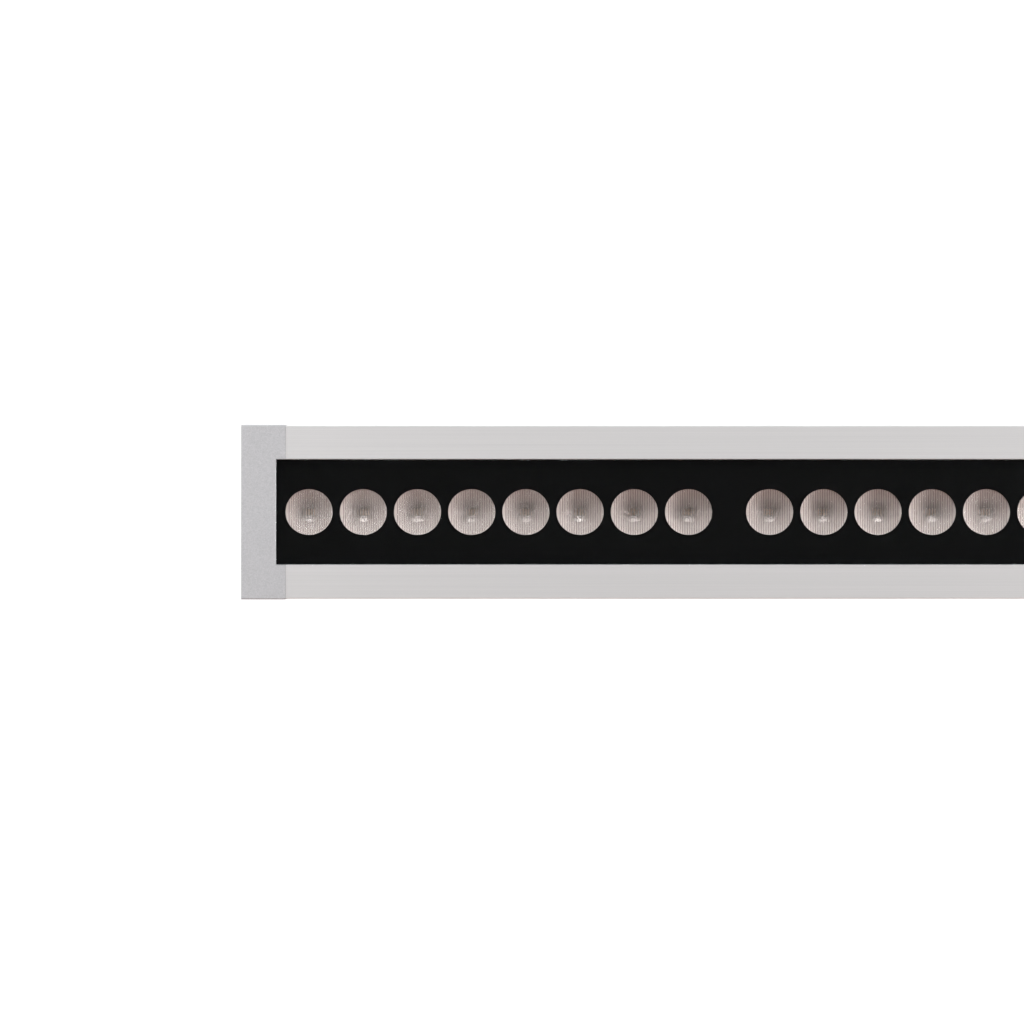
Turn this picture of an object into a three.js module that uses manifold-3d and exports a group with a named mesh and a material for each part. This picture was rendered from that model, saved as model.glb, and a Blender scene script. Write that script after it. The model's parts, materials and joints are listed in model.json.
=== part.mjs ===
// LED strip batten: an extruded aluminium trough with a glazed front, lensed emitters in groups under a
// black mask, cast end caps with flush sockets, and two tilting feet that clamp to a dovetail rail on its
// back. Millimetres. X runs along the batten, +Z is the way it shines, and Z = 0 is the floor under the
// feet. In the luminaire's own group Z = 0 is the back of the housing, and in a foot's group the origin is
// on the tilt axis.
import * as THREE from "three";
import { mergeVertices } from "three/addons/utils/BufferGeometryUtils.js";
import Module from "manifold-3d";

const wasm = await Module();
wasm.setup();

// ---- Driving dimensions -------------------------------------------------------------------------

// Optics: the openings in the mask set the length of the whole batten.
const GROUPS = 5;
const LENSES_PER_GROUP = 8;
const APERTURE = 20; // diameter of each round opening in the mask
const APERTURE_WEB = 3; // mask left between two openings of a group
const GROUP_WEB = 14.4; // mask left between two groups
const END_WEB = 3.9; // mask left beyond the outermost opening
const LENS_OVERLAP = 0.6; // how far a lens reaches under the mask, all round
const LENS_FOOT_RADIUS = 4.2; // small end of a lens, over its emitter
const EMITTER_ROOM_RADIUS = 3.2; // hollow in the foot of a lens
const EMITTER_ROOM_DEPTH = 2.4;
const CARRIER_THICKNESS = 2; // moulded strip that joins the lenses of a group
const CARRIER_EDGE = 2.5; // carrier left around the lenses
const CARRIER_POST_SIDE = 3;
const CARRIER_POST_LENS = 3; // the posts stand this many lens pitches from the middle of a group
const EMITTER_RADIUS = 2.4;
const EMITTER_HEIGHT = 2.4;
const BOARD_THICKNESS = 1.6;
const BOARD_WIDTH = 38;
const BOARD_END = 7; // board left beyond the outermost emitter

// Glazed front, from the flange down: glass, mask, gasket.
const WINDOW_WIDTH = 44.5;
const WINDOW_INSET = 14.8; // from the end of the batten to the window
const WINDOW_CLEARANCE = 0.2; // between the window and its recess
const GLASS_SUNK = 0.3;
const GLASS_THICKNESS = 2.8;
const MASK_THICKNESS = 1;
const COVER_GASKET_THICKNESS = 0.8;
const COVER_GASKET_WIDTH = 3.6;
const STACK_GAP = 0.1; // between layers that lie on each other
const LEDGE_WIDTH = 4.4;
const LEDGE_THICKNESS = 2.8;

// Extruded housing
const BODY_WIDTH = 73.6;
const BODY_DEPTH = 62;
const BODY_EDGE = 0.4; // chamfer along the outer edges
const FLANGE_THICKNESS = 8;
const FLOOR_THICKNESS = 4;
const WALL_THICKNESS = 4;
const SHELF_THICKNESS = 3; // web that carries the boards and parts the two chambers
const OPTIC_ROOM = 13; // from the shelf to the underside of the ledge
const RIBS = 6; // cooling ribs on each side
const RIB_DEPTH = 5.8;
const RIB_THICKNESS = 2;
const FOOT_BLOCK_HEIGHT = 9; // solid corner at the back, for the cap screws
const PORT_RADIUS = 1.65;
const PORT_FROM_SIDE = 5.4;
const PORT_FROM_BACK = 4.5;
const PORT_FROM_FRONT = 5;
const RAIL_NECK = 8; // half width of the dovetail rail at its root
const RAIL_HEAD = 11; // half width at its foot
const RAIL_NECK_HEIGHT = 2;
const RAIL_FLANK_HEIGHT = 2.5;
const RAIL_HEIGHT = 6;

// End caps, their gaskets and screws
const CAP_LENGTH = 18.6;
const CAP_PROUD = 0.3; // the caps stand this far outside the housing
const CAP_CORNER = 0.7;
const CAP_END_WALL = 5;
const CAP_JOINT = 0.3; // gap between cap and housing at the rim
const GASKET_THICKNESS = 0.8;
const GASKET_RIM = 1.2; // rim of housing left outside the gasket
const FIT_CLEARANCE = 0.3; // between a fixed piece and the pocket or hole that takes it
const SCREW_RADIUS = 1.4; // core of an M4 thread
const SCREW_LENGTH = 24;
const SCREW_HOLE_RADIUS = 2.2;
const SCREW_HEAD_RADIUS = 3.5;
const SCREW_HEAD_HEIGHT = 4;
const SCREW_KEY_RADIUS = 1.7;
const SCREW_KEY_DEPTH = 2;

// Sockets in the end caps
const SOCKET_FLANGE = 24; // side of the square flange
const SOCKET_FLANGE_CORNER = 3;
const SOCKET_FLANGE_THICKNESS = 2;
const SOCKET_SUNK = 0.2; // flange below the cap's end face
const SOCKET_SPACING = 4; // between the two flanges
const SOCKET_BARREL_RADIUS = 10;
const SOCKET_LENGTH = 30;
const SOCKET_DEPTH = 14;
const POWER_SOCKET_RADIUS = 8.2;
const DATA_SOCKET_RADIUS = 7;

// Control panel in the side, near the inlet end
const PANEL_LENGTH = 100;
const PANEL_THICKNESS = 4.4;
const PANEL_MARGIN = 2; // between the panel and the pocket milled in the ribs
const PANEL_FROM_END = 62; // from the end of the batten to the panel
const DISPLAY_LENGTH = 40;
const DISPLAY_MARGIN = 5; // panel left beside the display
const DISPLAY_HEIGHT = 16;
const DISPLAY_THICKNESS = 1.8;
const BUTTON_SIDE = 7.2;
const BUTTON_PITCH = 11.5;
const BUTTON_PROUD = 0.9;
const BUTTON_TRAVEL = 0.7;
const BUTTON_FLANGE = 1; // the flange stands this far out around the cap
const BUTTON_FLANGE_THICKNESS = 0.8;
const BUTTON_CLEARANCE = 0.25;
const BUTTONS = ["button_mode", "button_up", "button_down", "button_enter"];

// Electronics and wiring in the back chamber
const DRIVER_LENGTH = 320;
const DRIVER_WIDTH = 38;
const DRIVER_HEIGHT = 26;
const CONTROL_BOARD_LENGTH = 130;
const CONTROL_BOARD_WIDTH = 46;
const CONTROL_BOARD_RISE = 20; // above the chamber's floor
const LOOM_RADIUS = 2.5;

// Fittings on the back
const VENT_RADIUS = 6.5;
const VENT_HEIGHT = 3.2;
const VENT_STEM_RADIUS = 4.5;
const VENT_GRIP = 1.5; // stem inside the chamber
const BAIL_WIRE_RADIUS = 2.5;
const BAIL_HALF_SPAN = 13;
const BAIL_DROP = 22;
const BAIL_GRIP = 5; // thread inside the chamber

// Tilting feet
const AXIS_HEIGHT = 42; // tilt axis above the floor
const AXIS_TO_BACK = 26; // from the tilt axis to the back of the housing
const FOOT_X = 300; // each foot's place along the batten, from the middle
const SHEET = 3; // steel of the feet
const BASE_LENGTH = 64;
const BASE_WIDTH = 70;
const BASE_CORNER = 4;
const BASE_BOLT_RADIUS = 5.5; // clearance for an M10 clamp bolt
const BASE_SCREW_RADIUS = 2.25;
const BASE_SCREW_INSET = 8;
const EAR_RADIUS = 12;
const LUG_WIDTH = 20;
const LUG_RADIUS = 11;
const WASHER_THICKNESS = 2.4;
const WASHER_RADIUS = 10;
const PIVOT_RADIUS = 4;
const PIVOT_CLEARANCE = 0.3;
const PIVOT_HEAD_RADIUS = 7.5;
const PIVOT_HEAD_HEIGHT = 5.3;
const PIVOT_IN_KNOB = 13;
const KNOB_RADIUS = 11;
const KNOB_LOBE = 1; // lobes stand this far out and in
const KNOB_LOBES = 6;
const KNOB_LENGTH = 14;
const KNOB_HUB_RADIUS = 8;
const KNOB_HUB_LENGTH = 6;

// Carriages that grip the rail
const CARRIAGE_LENGTH = 60;
const CARRIAGE_WIDTH = 44;
const CARRIAGE_RUNNING_GAP = 0.5; // between the carriage and the housing's back
const RAIL_CLEARANCE = 0.3;
const EAR_CLEARANCE = 1; // between the ears' round tops and the carriage
const GRUB_RADIUS = 2.8;
const GRUB_FROM_END = 7;
const GRUB_KEY_RADIUS = 1.6;
const GRUB_KEY_DEPTH = 3;

// ---- Sizes that follow --------------------------------------------------------------------------

const lensPitch = APERTURE + APERTURE_WEB;
const groupSpan = LENSES_PER_GROUP * APERTURE + (LENSES_PER_GROUP - 1) * APERTURE_WEB;
const groupPitch = groupSpan + GROUP_WEB;
const windowLength = GROUPS * groupSpan + (GROUPS - 1) * GROUP_WEB + 2 * END_WEB;
const length = windowLength + 2 * WINDOW_INSET;
const housingLength = length - 2 * (CAP_LENGTH + CAP_JOINT);

const halfWidth = BODY_WIDTH / 2;
const chamberHalf = halfWidth - RIB_DEPTH - WALL_THICKNESS;
const wallOutside = chamberHalf + WALL_THICKNESS;
const recessHalf = WINDOW_WIDTH / 2 + WINDOW_CLEARANCE;
const glassTop = BODY_DEPTH - GLASS_SUNK;
const maskTop = glassTop - GLASS_THICKNESS - STACK_GAP;
const coverGasketTop = maskTop - MASK_THICKNESS - STACK_GAP;
const ledgeTop = coverGasketTop - COVER_GASKET_THICKNESS - STACK_GAP;
const ledgeInside = WINDOW_WIDTH / 2 - LEDGE_WIDTH;
const ledgeUnder = ledgeTop - LEDGE_THICKNESS;
const shelfTop = ledgeUnder - OPTIC_ROOM;
const shelfUnder = shelfTop - SHELF_THICKNESS;
const chamberMiddle = (FLOOR_THICKNESS + shelfUnder) / 2;
const boardTop = shelfTop + STACK_GAP + BOARD_THICKNESS;
const lensTop = ledgeTop;
const lensFoot = boardTop + EMITTER_HEIGHT - EMITTER_ROOM_DEPTH / 2;
const ribsFrom = FOOT_BLOCK_HEIGHT;
const ribsTo = BODY_DEPTH - FLANGE_THICKNESS;
const ribGap = (ribsTo - ribsFrom - RIBS * RIB_THICKNESS) / (RIBS + 1);
const socketAcross = (SOCKET_FLANGE + SOCKET_SPACING) / 2;

const screwPlaces = [-1, 1].flatMap((side) =>
  [PORT_FROM_BACK, BODY_DEPTH - PORT_FROM_FRONT].map((up) => [side * (halfWidth - PORT_FROM_SIDE), up]),
);

const backHeight = AXIS_HEIGHT + AXIS_TO_BACK;
const earInside = LUG_WIDTH / 2 + WASHER_THICKNESS + 2 * FIT_CLEARANCE;
const earOutside = earInside + SHEET;
const pivotHole = PIVOT_RADIUS + PIVOT_CLEARANCE;
const carriageUnder = EAR_RADIUS + EAR_CLEARANCE; // above the tilt axis
const railUnder = AXIS_TO_BACK - RAIL_HEIGHT; // above the tilt axis
const grubX = CARRIAGE_LENGTH / 2 - GRUB_FROM_END;
const knobFrom = earOutside + FIT_CLEARANCE;

const panelHeight = ribsTo - ribsFrom - 2 * PANEL_MARGIN;
const panelMiddle = (ribsTo + ribsFrom) / 2;
const panelX = length / 2 - PANEL_FROM_END - PANEL_LENGTH / 2;
const panelBack = wallOutside + STACK_GAP;
const panelFace = panelBack + PANEL_THICKNESS;
const displayX = -(PANEL_LENGTH - DISPLAY_LENGTH) / 2 + DISPLAY_MARGIN;
const buttonRoom = BUTTON_FLANGE_THICKNESS + BUTTON_TRAVEL + FIT_CLEARANCE; // pocket behind the panel

// ---- Materials ----------------------------------------------------------------------------------

const finish = (color, roughness, metalness) =>
  new THREE.MeshStandardMaterial({ color, roughness, metalness });
const anodised = finish(0xd2d2d0, 0.38, 0.9);
const blasted = finish(0xc6c6c8, 0.6, 0.8);
const maskBlack = finish(0x121212, 0.45, 0.0);
const glass = finish(0xf4f8f8, 0.04, 0.0);
const acrylic = finish(0xd8d4d2, 0.08, 0.0);
const silicone = finish(0x1c1c1c, 0.8, 0.0);
const boardWhite = finish(0xe6e4de, 0.5, 0.0);
const boardGreen = finish(0x1f4a33, 0.5, 0.0);
const zinc = finish(0xb4b5b6, 0.35, 0.9);
const stainless = finish(0xbfc0c0, 0.28, 0.95);
const blackSteel = finish(0x1a1b1c, 0.5, 0.4);
const blackPlastic = finish(0x151515, 0.55, 0.0);
const powerBlue = finish(0x2b4f86, 0.5, 0.0);
const smoked = finish(0x1a0a0a, 0.1, 0.0);
const nylon = finish(0x2a2a2a, 0.6, 0.0);
const cableGrey = finish(0x303234, 0.7, 0.0);

// ---- Making shapes ------------------------------------------------------------------------------

const AXIS_X = new THREE.Vector3(1, 0, 0);
const AXIS_Y = new THREE.Vector3(0, 1, 0);
const AXIS_Z = new THREE.Vector3(0, 0, 1);
// Turns a shape drawn across Y and up Z so that its depth runs along X.
const SECTION = new THREE.Matrix4().makeBasis(AXIS_Y, AXIS_Z, AXIS_X);
// Turns a lathe's axis, Y, to Z.
const LATHE_TO_Z = new THREE.Matrix4().makeBasis(AXIS_Y, AXIS_Z, AXIS_X);

const ROUND = 12; // sides of a hole or pin
const FINE_ROUND = 16;
const SMALL_ROUND = 8;
const ARC = 3; // sides of a quarter circle at a rounded corner
const EAR_ARC = 8; // sides of the half circle at the end of an ear or a lug
const BAIL_ARC = 8; // sides of the safety loop's half circle
const LOBE_POINTS = 6; // sides of each lobe of a knob
const LOOM_STEP = 6 * LOOM_RADIUS; // how long each straight stretch of a loom is
const CUT_OVERRUN = 1; // how far a cutting solid passes the face that it opens

function solid(geometry) {
  const bare = geometry.index ? geometry.toNonIndexed() : geometry.clone();
  bare.deleteAttribute("normal");
  bare.deleteAttribute("uv");
  const merged = mergeVertices(bare, 1e-4);
  return new wasm.Manifold(
    new wasm.Mesh({
      numProp: 3,
      vertProperties: merged.attributes.position.array,
      triVerts: new Uint32Array(merged.index.array),
    }),
  );
}

function geometryOf(made) {
  const mesh = made.getMesh();
  const geometry = new THREE.BufferGeometry();
  geometry.setAttribute("position", new THREE.BufferAttribute(mesh.vertProperties, 3));
  geometry.setIndex(new THREE.BufferAttribute(mesh.triVerts, 1));
  const flat = geometry.toNonIndexed();
  flat.computeVertexNormals();
  return flat;
}

const joined = (first, ...others) => geometryOf(others.reduce((sum, g) => sum.add(solid(g)), solid(first)));
const cut = (first, ...tools) => geometryOf(tools.reduce((rest, g) => rest.subtract(solid(g)), solid(first)));

// A box between two corners, each given as [x, y, z].
function block(low, high) {
  const [dx, dy, dz] = high.map((v, i) => v - low[i]);
  return new THREE.BoxGeometry(dx, dy, dz).translate(low[0] + dx / 2, low[1] + dy / 2, low[2] + dz / 2);
}

const outline = (points) => new THREE.Shape(points.map(([x, y]) => new THREE.Vector2(x, y)));

function circlePoints(radius, cx, cy, sides) {
  return Array.from({ length: sides }, (_, i) => {
    const a = (2 * Math.PI * (i + 0.5)) / sides;
    return new THREE.Vector2(cx + radius * Math.cos(a), cy + radius * Math.sin(a));
  });
}

const circlePath = (radius, cx = 0, cy = 0, sides = ROUND) =>
  new THREE.Path(circlePoints(radius, cx, cy, sides));

const boxPath = (x0, y0, x1, y1) =>
  new THREE.Path([
    new THREE.Vector2(x0, y0),
    new THREE.Vector2(x1, y0),
    new THREE.Vector2(x1, y1),
    new THREE.Vector2(x0, y1),
  ]);

function roundedBox(x0, y0, x1, y1, radius) {
  const shape = new THREE.Shape();
  shape.absarc(x1 - radius, y0 + radius, radius, -Math.PI / 2, 0);
  shape.absarc(x1 - radius, y1 - radius, radius, 0, Math.PI / 2);
  shape.absarc(x0 + radius, y1 - radius, radius, Math.PI / 2, Math.PI);
  shape.absarc(x0 + radius, y0 + radius, radius, Math.PI, 1.5 * Math.PI);
  return shape;
}

// Extrudes a shape drawn in the section (across Y, up Z) from x0 to x1.
function alongX(shape, x0, x1, curveSegments = ARC) {
  const made = new THREE.ExtrudeGeometry(shape, { depth: x1 - x0, bevelEnabled: false, curveSegments });
  return made.applyMatrix4(SECTION).translate(x0, 0, 0);
}

// Extrudes a shape drawn in plan (along X, across Y) from z0 to z1.
function alongZ(shape, z0, z1, curveSegments = ARC) {
  const made = new THREE.ExtrudeGeometry(shape, { depth: z1 - z0, bevelEnabled: false, curveSegments });
  return made.translate(0, 0, z0);
}

// Revolves a profile of [radius, height] points, given from the low end to the high end.
function turned(profile, sides, turn) {
  const points = profile.map(([r, h]) => new THREE.Vector2(r, h));
  return new THREE.LatheGeometry(points, sides).applyMatrix4(turn);
}

// A round rod along X from x0 to x1.
const rodX = (radius, x0, x1, y = 0, z = 0, sides = ROUND) =>
  alongX(new THREE.Shape(circlePoints(radius, y, z, sides)), x0, x1);
const rodZ = (radius, z0, z1, x = 0, y = 0, sides = ROUND) =>
  alongZ(new THREE.Shape(circlePoints(radius, x, y, sides)), z0, z1);

// A round rod along a smooth curve through points, with a ring of vertices at every step of its length.
function swept(points, radius, step) {
  const curve = new THREE.CatmullRomCurve3(points.map((p) => new THREE.Vector3(...p)), false, "centripetal");
  const steps = Math.ceil(curve.getLength() / step);
  const section = new THREE.Shape(circlePoints(radius, 0, 0, 6));
  return new THREE.ExtrudeGeometry(section, { steps, extrudePath: curve, bevelEnabled: false });
}

function piece(parent, name, geometry, material, x = 0, y = 0, z = 0) {
  const mesh = new THREE.Mesh(geometry, material);
  mesh.name = name;
  mesh.position.set(x, y, z);
  parent.add(mesh);
  return mesh;
}

// ---- The housing --------------------------------------------------------------------------------

// Right half of the dovetail rail's outline, from its foot to its root, grown by a clearance.
function railFlank(clearance) {
  const run = RAIL_HEAD - RAIL_NECK;
  const lift = (clearance * (Math.hypot(run, RAIL_FLANK_HEIGHT) - RAIL_FLANK_HEIGHT)) / run;
  return [
    [RAIL_HEAD + clearance, -RAIL_HEIGHT - clearance],
    [RAIL_HEAD + clearance, -RAIL_NECK_HEIGHT - RAIL_FLANK_HEIGHT + lift],
    [RAIL_NECK + clearance, -RAIL_NECK_HEIGHT + lift],
  ];
}

const mirrored = (half) => [...half, ...half.map(([y, z]) => [-y, z]).reverse()];

function housingSection() {
  const half = [
    ...railFlank(0),
    [RAIL_NECK, 0],
    [halfWidth - BODY_EDGE, 0],
    [halfWidth, BODY_EDGE],
  ];
  for (let i = 0; i <= RIBS; i++) {
    const gapFrom = ribsFrom + i * (ribGap + RIB_THICKNESS);
    half.push([halfWidth, gapFrom], [wallOutside, gapFrom]);
    half.push([wallOutside, gapFrom + ribGap], [halfWidth, gapFrom + ribGap]);
  }
  half.push(
    [halfWidth, BODY_DEPTH - BODY_EDGE],
    [halfWidth - BODY_EDGE, BODY_DEPTH],
    [recessHalf, BODY_DEPTH],
    [recessHalf, ledgeTop],
    [ledgeInside, ledgeTop],
    [ledgeInside, ledgeUnder],
    [chamberHalf, ledgeUnder],
    [chamberHalf, shelfTop],
  );
  const shape = outline(mirrored(half));
  shape.holes.push(boxPath(-chamberHalf, FLOOR_THICKNESS, chamberHalf, shelfUnder));
  for (const [y, z] of screwPlaces) shape.holes.push(circlePath(PORT_RADIUS, y, z, SMALL_ROUND));
  return shape;
}

const leadX = -groupPitch / 2; // the boards' lead comes up between the second and third boards
const leadHoleRadius = LOOM_RADIUS + FIT_CLEARANCE;
const driverMiddleX = leadX;
const ventX = -(housingLength / 2 - VENT_RADIUS - 2 * CAP_CORNER - SHEET);
const ventY = chamberHalf - VENT_RADIUS;
const bailY = (RAIL_HEAD + halfWidth) / 2 - BAIL_WIRE_RADIUS;

function housing() {
  const run = housingLength / 2;
  const pocketHalf = PANEL_LENGTH / 2 + PANEL_MARGIN;
  return cut(
    alongX(housingSection(), -run, run),
    block(
      [panelX - pocketHalf, -halfWidth - CUT_OVERRUN, ribsFrom],
      [panelX + pocketHalf, -wallOutside, ribsTo],
    ),
    rodZ(leadHoleRadius, shelfUnder - CUT_OVERRUN, shelfTop + CUT_OVERRUN, leadX, 0, SMALL_ROUND),
    rodZ(VENT_STEM_RADIUS + FIT_CLEARANCE, -CUT_OVERRUN, FLOOR_THICKNESS + CUT_OVERRUN, ventX, ventY),
    ...[-1, 1].map((side) =>
      rodZ(
        BAIL_WIRE_RADIUS + FIT_CLEARANCE,
        -CUT_OVERRUN,
        FLOOR_THICKNESS + CUT_OVERRUN,
        side * BAIL_HALF_SPAN,
        bailY,
      ),
    ),
  );
}

// ---- End caps, drawn for the +X end with x = 0 on the joint face --------------------------------

const gasketTop = BODY_DEPTH - GASKET_RIM;
const gasketNotch = ledgeUnder - GASKET_THICKNESS;
const windowInCap = CAP_LENGTH - WINDOW_INSET;
const lensRelief = Math.max(windowInCap - END_WEB + LENS_OVERLAP + FIT_CLEARANCE, 0); // the lens strip's end

// The gasket's flat outline, grown by a clearance: a U whose arms stand beside the window.
function gasketOutline(grow) {
  const half = halfWidth - GASKET_RIM + grow;
  const notchHalf = recessHalf + GASKET_RIM - grow;
  return outline([
    [half, GASKET_RIM - grow],
    [half, gasketTop + grow],
    [notchHalf, gasketTop + grow],
    [notchHalf, gasketNotch + grow],
    [-notchHalf, gasketNotch + grow],
    [-notchHalf, gasketTop + grow],
    [-half, gasketTop + grow],
    [-half, GASKET_RIM - grow],
  ]);
}

function endGasket() {
  const shape = gasketOutline(0);
  const inside = chamberHalf - GASKET_RIM;
  shape.holes.push(boxPath(-inside, FLOOR_THICKNESS + GASKET_RIM, inside, shelfUnder - GASKET_RIM));
  shape.holes.push(boxPath(-inside, shelfTop + GASKET_RIM, inside, gasketNotch - 2 * GASKET_RIM));
  for (const [y, z] of screwPlaces) shape.holes.push(circlePath(SCREW_HOLE_RADIUS, y, z, SMALL_ROUND));
  return alongX(shape, STACK_GAP - CAP_JOINT, STACK_GAP - CAP_JOINT + GASKET_THICKNESS);
}

function endCap() {
  const half = halfWidth + CAP_PROUD;
  const body = alongX(
    roundedBox(-half, -CAP_PROUD, half, BODY_DEPTH + CAP_PROUD, CAP_CORNER),
    0,
    CAP_LENGTH,
  );
  const pocketEnd = CAP_LENGTH - CAP_END_WALL;
  const inside = chamberHalf - GASKET_RIM;
  const seatDepth = SOCKET_FLANGE_THICKNESS + SOCKET_SUNK;
  const flangeHalf = SOCKET_FLANGE / 2 + FIT_CLEARANCE;
  const headDepth = SCREW_HEAD_HEIGHT + FIT_CLEARANCE;
  return cut(
    body,
    alongX(gasketOutline(FIT_CLEARANCE), -CUT_OVERRUN, GASKET_THICKNESS - CAP_JOINT + 2 * STACK_GAP),
    block(
      [-CUT_OVERRUN, -ledgeInside, gasketNotch - GASKET_RIM],
      [lensRelief, ledgeInside, ledgeTop + CUT_OVERRUN],
    ),
    block(
      [-CUT_OVERRUN, -inside, FLOOR_THICKNESS + GASKET_RIM],
      [pocketEnd, inside, shelfUnder - GASKET_RIM],
    ),
    block(
      [-CUT_OVERRUN, -inside, shelfTop + GASKET_RIM],
      [pocketEnd, inside, gasketNotch - 2 * GASKET_RIM],
    ),
    block(
      [-CUT_OVERRUN, -recessHalf, ledgeTop],
      [windowInCap + WINDOW_CLEARANCE, recessHalf, BODY_DEPTH + CUT_OVERRUN],
    ),
    ...screwPlaces.flatMap(([y, z]) => [
      rodX(SCREW_HOLE_RADIUS, -CUT_OVERRUN, CAP_LENGTH + CUT_OVERRUN, y, z, SMALL_ROUND),
      rodX(SCREW_HEAD_RADIUS + FIT_CLEARANCE, CAP_LENGTH - headDepth, CAP_LENGTH + CUT_OVERRUN, y, z),
    ]),
    ...[-1, 1].flatMap((side) => [
      rodX(
        SOCKET_BARREL_RADIUS + FIT_CLEARANCE,
        pocketEnd - CUT_OVERRUN,
        CAP_LENGTH + CUT_OVERRUN,
        side * socketAcross,
        chamberMiddle,
        FINE_ROUND,
      ),
      alongX(
        roundedBox(
          side * socketAcross - flangeHalf,
          chamberMiddle - flangeHalf,
          side * socketAcross + flangeHalf,
          chamberMiddle + flangeHalf,
          SOCKET_FLANGE_CORNER,
        ),
        CAP_LENGTH - seatDepth,
        CAP_LENGTH + CUT_OVERRUN,
      ),
    ]),
  );
}

// A socket head screw whose head's outer face is at x = 0 and whose point is towards -X.
function capScrew() {
  return cut(
    joined(
      rodX(SCREW_HEAD_RADIUS, -SCREW_HEAD_HEIGHT, 0),
      rodX(SCREW_RADIUS, -SCREW_HEAD_HEIGHT - SCREW_LENGTH, -SCREW_HEAD_HEIGHT / 2, 0, 0, 6),
    ),
    rodX(SCREW_KEY_RADIUS, -SCREW_KEY_DEPTH, CUT_OVERRUN, 0, 0, 6),
  );
}

// A panel socket whose flange's outer face is at x = 0.
function socket(bore) {
  const half = SOCKET_FLANGE / 2;
  return cut(
    joined(
      alongX(roundedBox(-half, -half, half, half, SOCKET_FLANGE_CORNER), -SOCKET_FLANGE_THICKNESS, 0),
      rodX(SOCKET_BARREL_RADIUS, -SOCKET_LENGTH, -SOCKET_FLANGE_THICKNESS / 2, 0, 0, FINE_ROUND),
    ),
    rodX(bore, -SOCKET_DEPTH, CUT_OVERRUN, 0, 0, FINE_ROUND),
  );
}

// ---- The glazed front and the optics ------------------------------------------------------------

const groupX = (group) => (group - (GROUPS - 1) / 2) * groupPitch;
const lensX = (lens) => (lens - (LENSES_PER_GROUP - 1) / 2) * lensPitch;
const everyLens = (make) => Array.from({ length: LENSES_PER_GROUP }, (_, i) => make(lensX(i)));

const windowPlate = (low, high) =>
  block([-windowLength / 2, -WINDOW_WIDTH / 2, low], [windowLength / 2, WINDOW_WIDTH / 2, high]);

function lensMask() {
  const shape = new THREE.Shape(boxPath(
    -windowLength / 2,
    -WINDOW_WIDTH / 2,
    windowLength / 2,
    WINDOW_WIDTH / 2,
  ).getPoints());
  for (let group = 0; group < GROUPS; group++) {
    shape.holes.push(...everyLens((x) => circlePath(APERTURE / 2, groupX(group) + x, 0)));
  }
  return alongZ(shape, maskTop - MASK_THICKNESS, maskTop);
}

function coverGasket() {
  const x = windowLength / 2;
  const y = WINDOW_WIDTH / 2;
  const shape = new THREE.Shape(boxPath(-x, -y, x, y).getPoints());
  const w = COVER_GASKET_WIDTH;
  shape.holes.push(boxPath(-x + w, -y + w, x - w, y - w));
  return alongZ(shape, coverGasketTop - COVER_GASKET_THICKNESS, coverGasketTop);
}

const carrierHalf = groupSpan / 2 + LENS_OVERLAP;
const carrierWidth = APERTURE / 2 + LENS_OVERLAP + CARRIER_EDGE;
const postX = CARRIER_POST_LENS * lensPitch;
const postY = carrierWidth - CARRIER_POST_SIDE / 2;

// The lenses of one group, moulded in one piece with the strip and posts that hold them over the board.
function lensArray() {
  const strip = block(
    [-carrierHalf, -carrierWidth, lensTop - CARRIER_THICKNESS],
    [carrierHalf, carrierWidth, lensTop],
  );
  const lenses = everyLens((x) =>
    turned(
      [
        [0, lensFoot + EMITTER_ROOM_DEPTH],
        [EMITTER_ROOM_RADIUS, lensFoot + EMITTER_ROOM_DEPTH],
        [EMITTER_ROOM_RADIUS, lensFoot],
        [LENS_FOOT_RADIUS, lensFoot],
        [APERTURE / 2, lensTop - CARRIER_THICKNESS / 2],
        [0, lensTop - CARRIER_THICKNESS / 2],
      ],
      SMALL_ROUND,
      LATHE_TO_Z,
    ).translate(x, 0, 0),
  );
  const post = CARRIER_POST_SIDE / 2;
  const posts = [-1, 1].flatMap((sx) =>
    [-1, 1].map((sy) =>
      block(
        [sx * postX - post, sy * postY - post, boardTop + STACK_GAP],
        [sx * postX + post, sy * postY + post, lensTop - CARRIER_THICKNESS / 2],
      ),
    ),
  );
  return joined(strip, ...lenses, ...posts);
}

// The metal-core board of one group with its emitters.
function ledBoard() {
  const half = lensX(LENSES_PER_GROUP - 1) + BOARD_END;
  const plate = block(
    [-half, -BOARD_WIDTH / 2, boardTop - BOARD_THICKNESS],
    [half, BOARD_WIDTH / 2, boardTop],
  );
  const seat = BOARD_THICKNESS / 2; // how far an emitter is set into the plate, so that they join
  const emitters = everyLens((x) =>
    rodZ(EMITTER_RADIUS, boardTop - seat, boardTop + EMITTER_HEIGHT, x, 0, SMALL_ROUND),
  );
  return joined(plate, ...emitters);
}

// ---- Electronics and wiring ---------------------------------------------------------------------

const driverY = -(chamberHalf - FIT_CLEARANCE - DRIVER_WIDTH / 2);
const driverEnds = [driverMiddleX - DRIVER_LENGTH / 2, driverMiddleX + DRIVER_LENGTH / 2];
const driverFrom = FLOOR_THICKNESS + STACK_GAP;
const controlX = panelX;
const controlZ = FLOOR_THICKNESS + CONTROL_BOARD_RISE;
const socketBack = length / 2 - SOCKET_SUNK - SOCKET_LENGTH;
const lowLoomZ = FLOOR_THICKNESS + 2 * LOOM_RADIUS;
const wallLoomY = chamberHalf - 3 * LOOM_RADIUS;

function driverModule() {
  const shape = roundedBox(
    driverY - DRIVER_WIDTH / 2,
    driverFrom,
    driverY + DRIVER_WIDTH / 2,
    driverFrom + DRIVER_HEIGHT,
    SHEET,
  );
  return alongX(shape, ...driverEnds);
}

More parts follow.
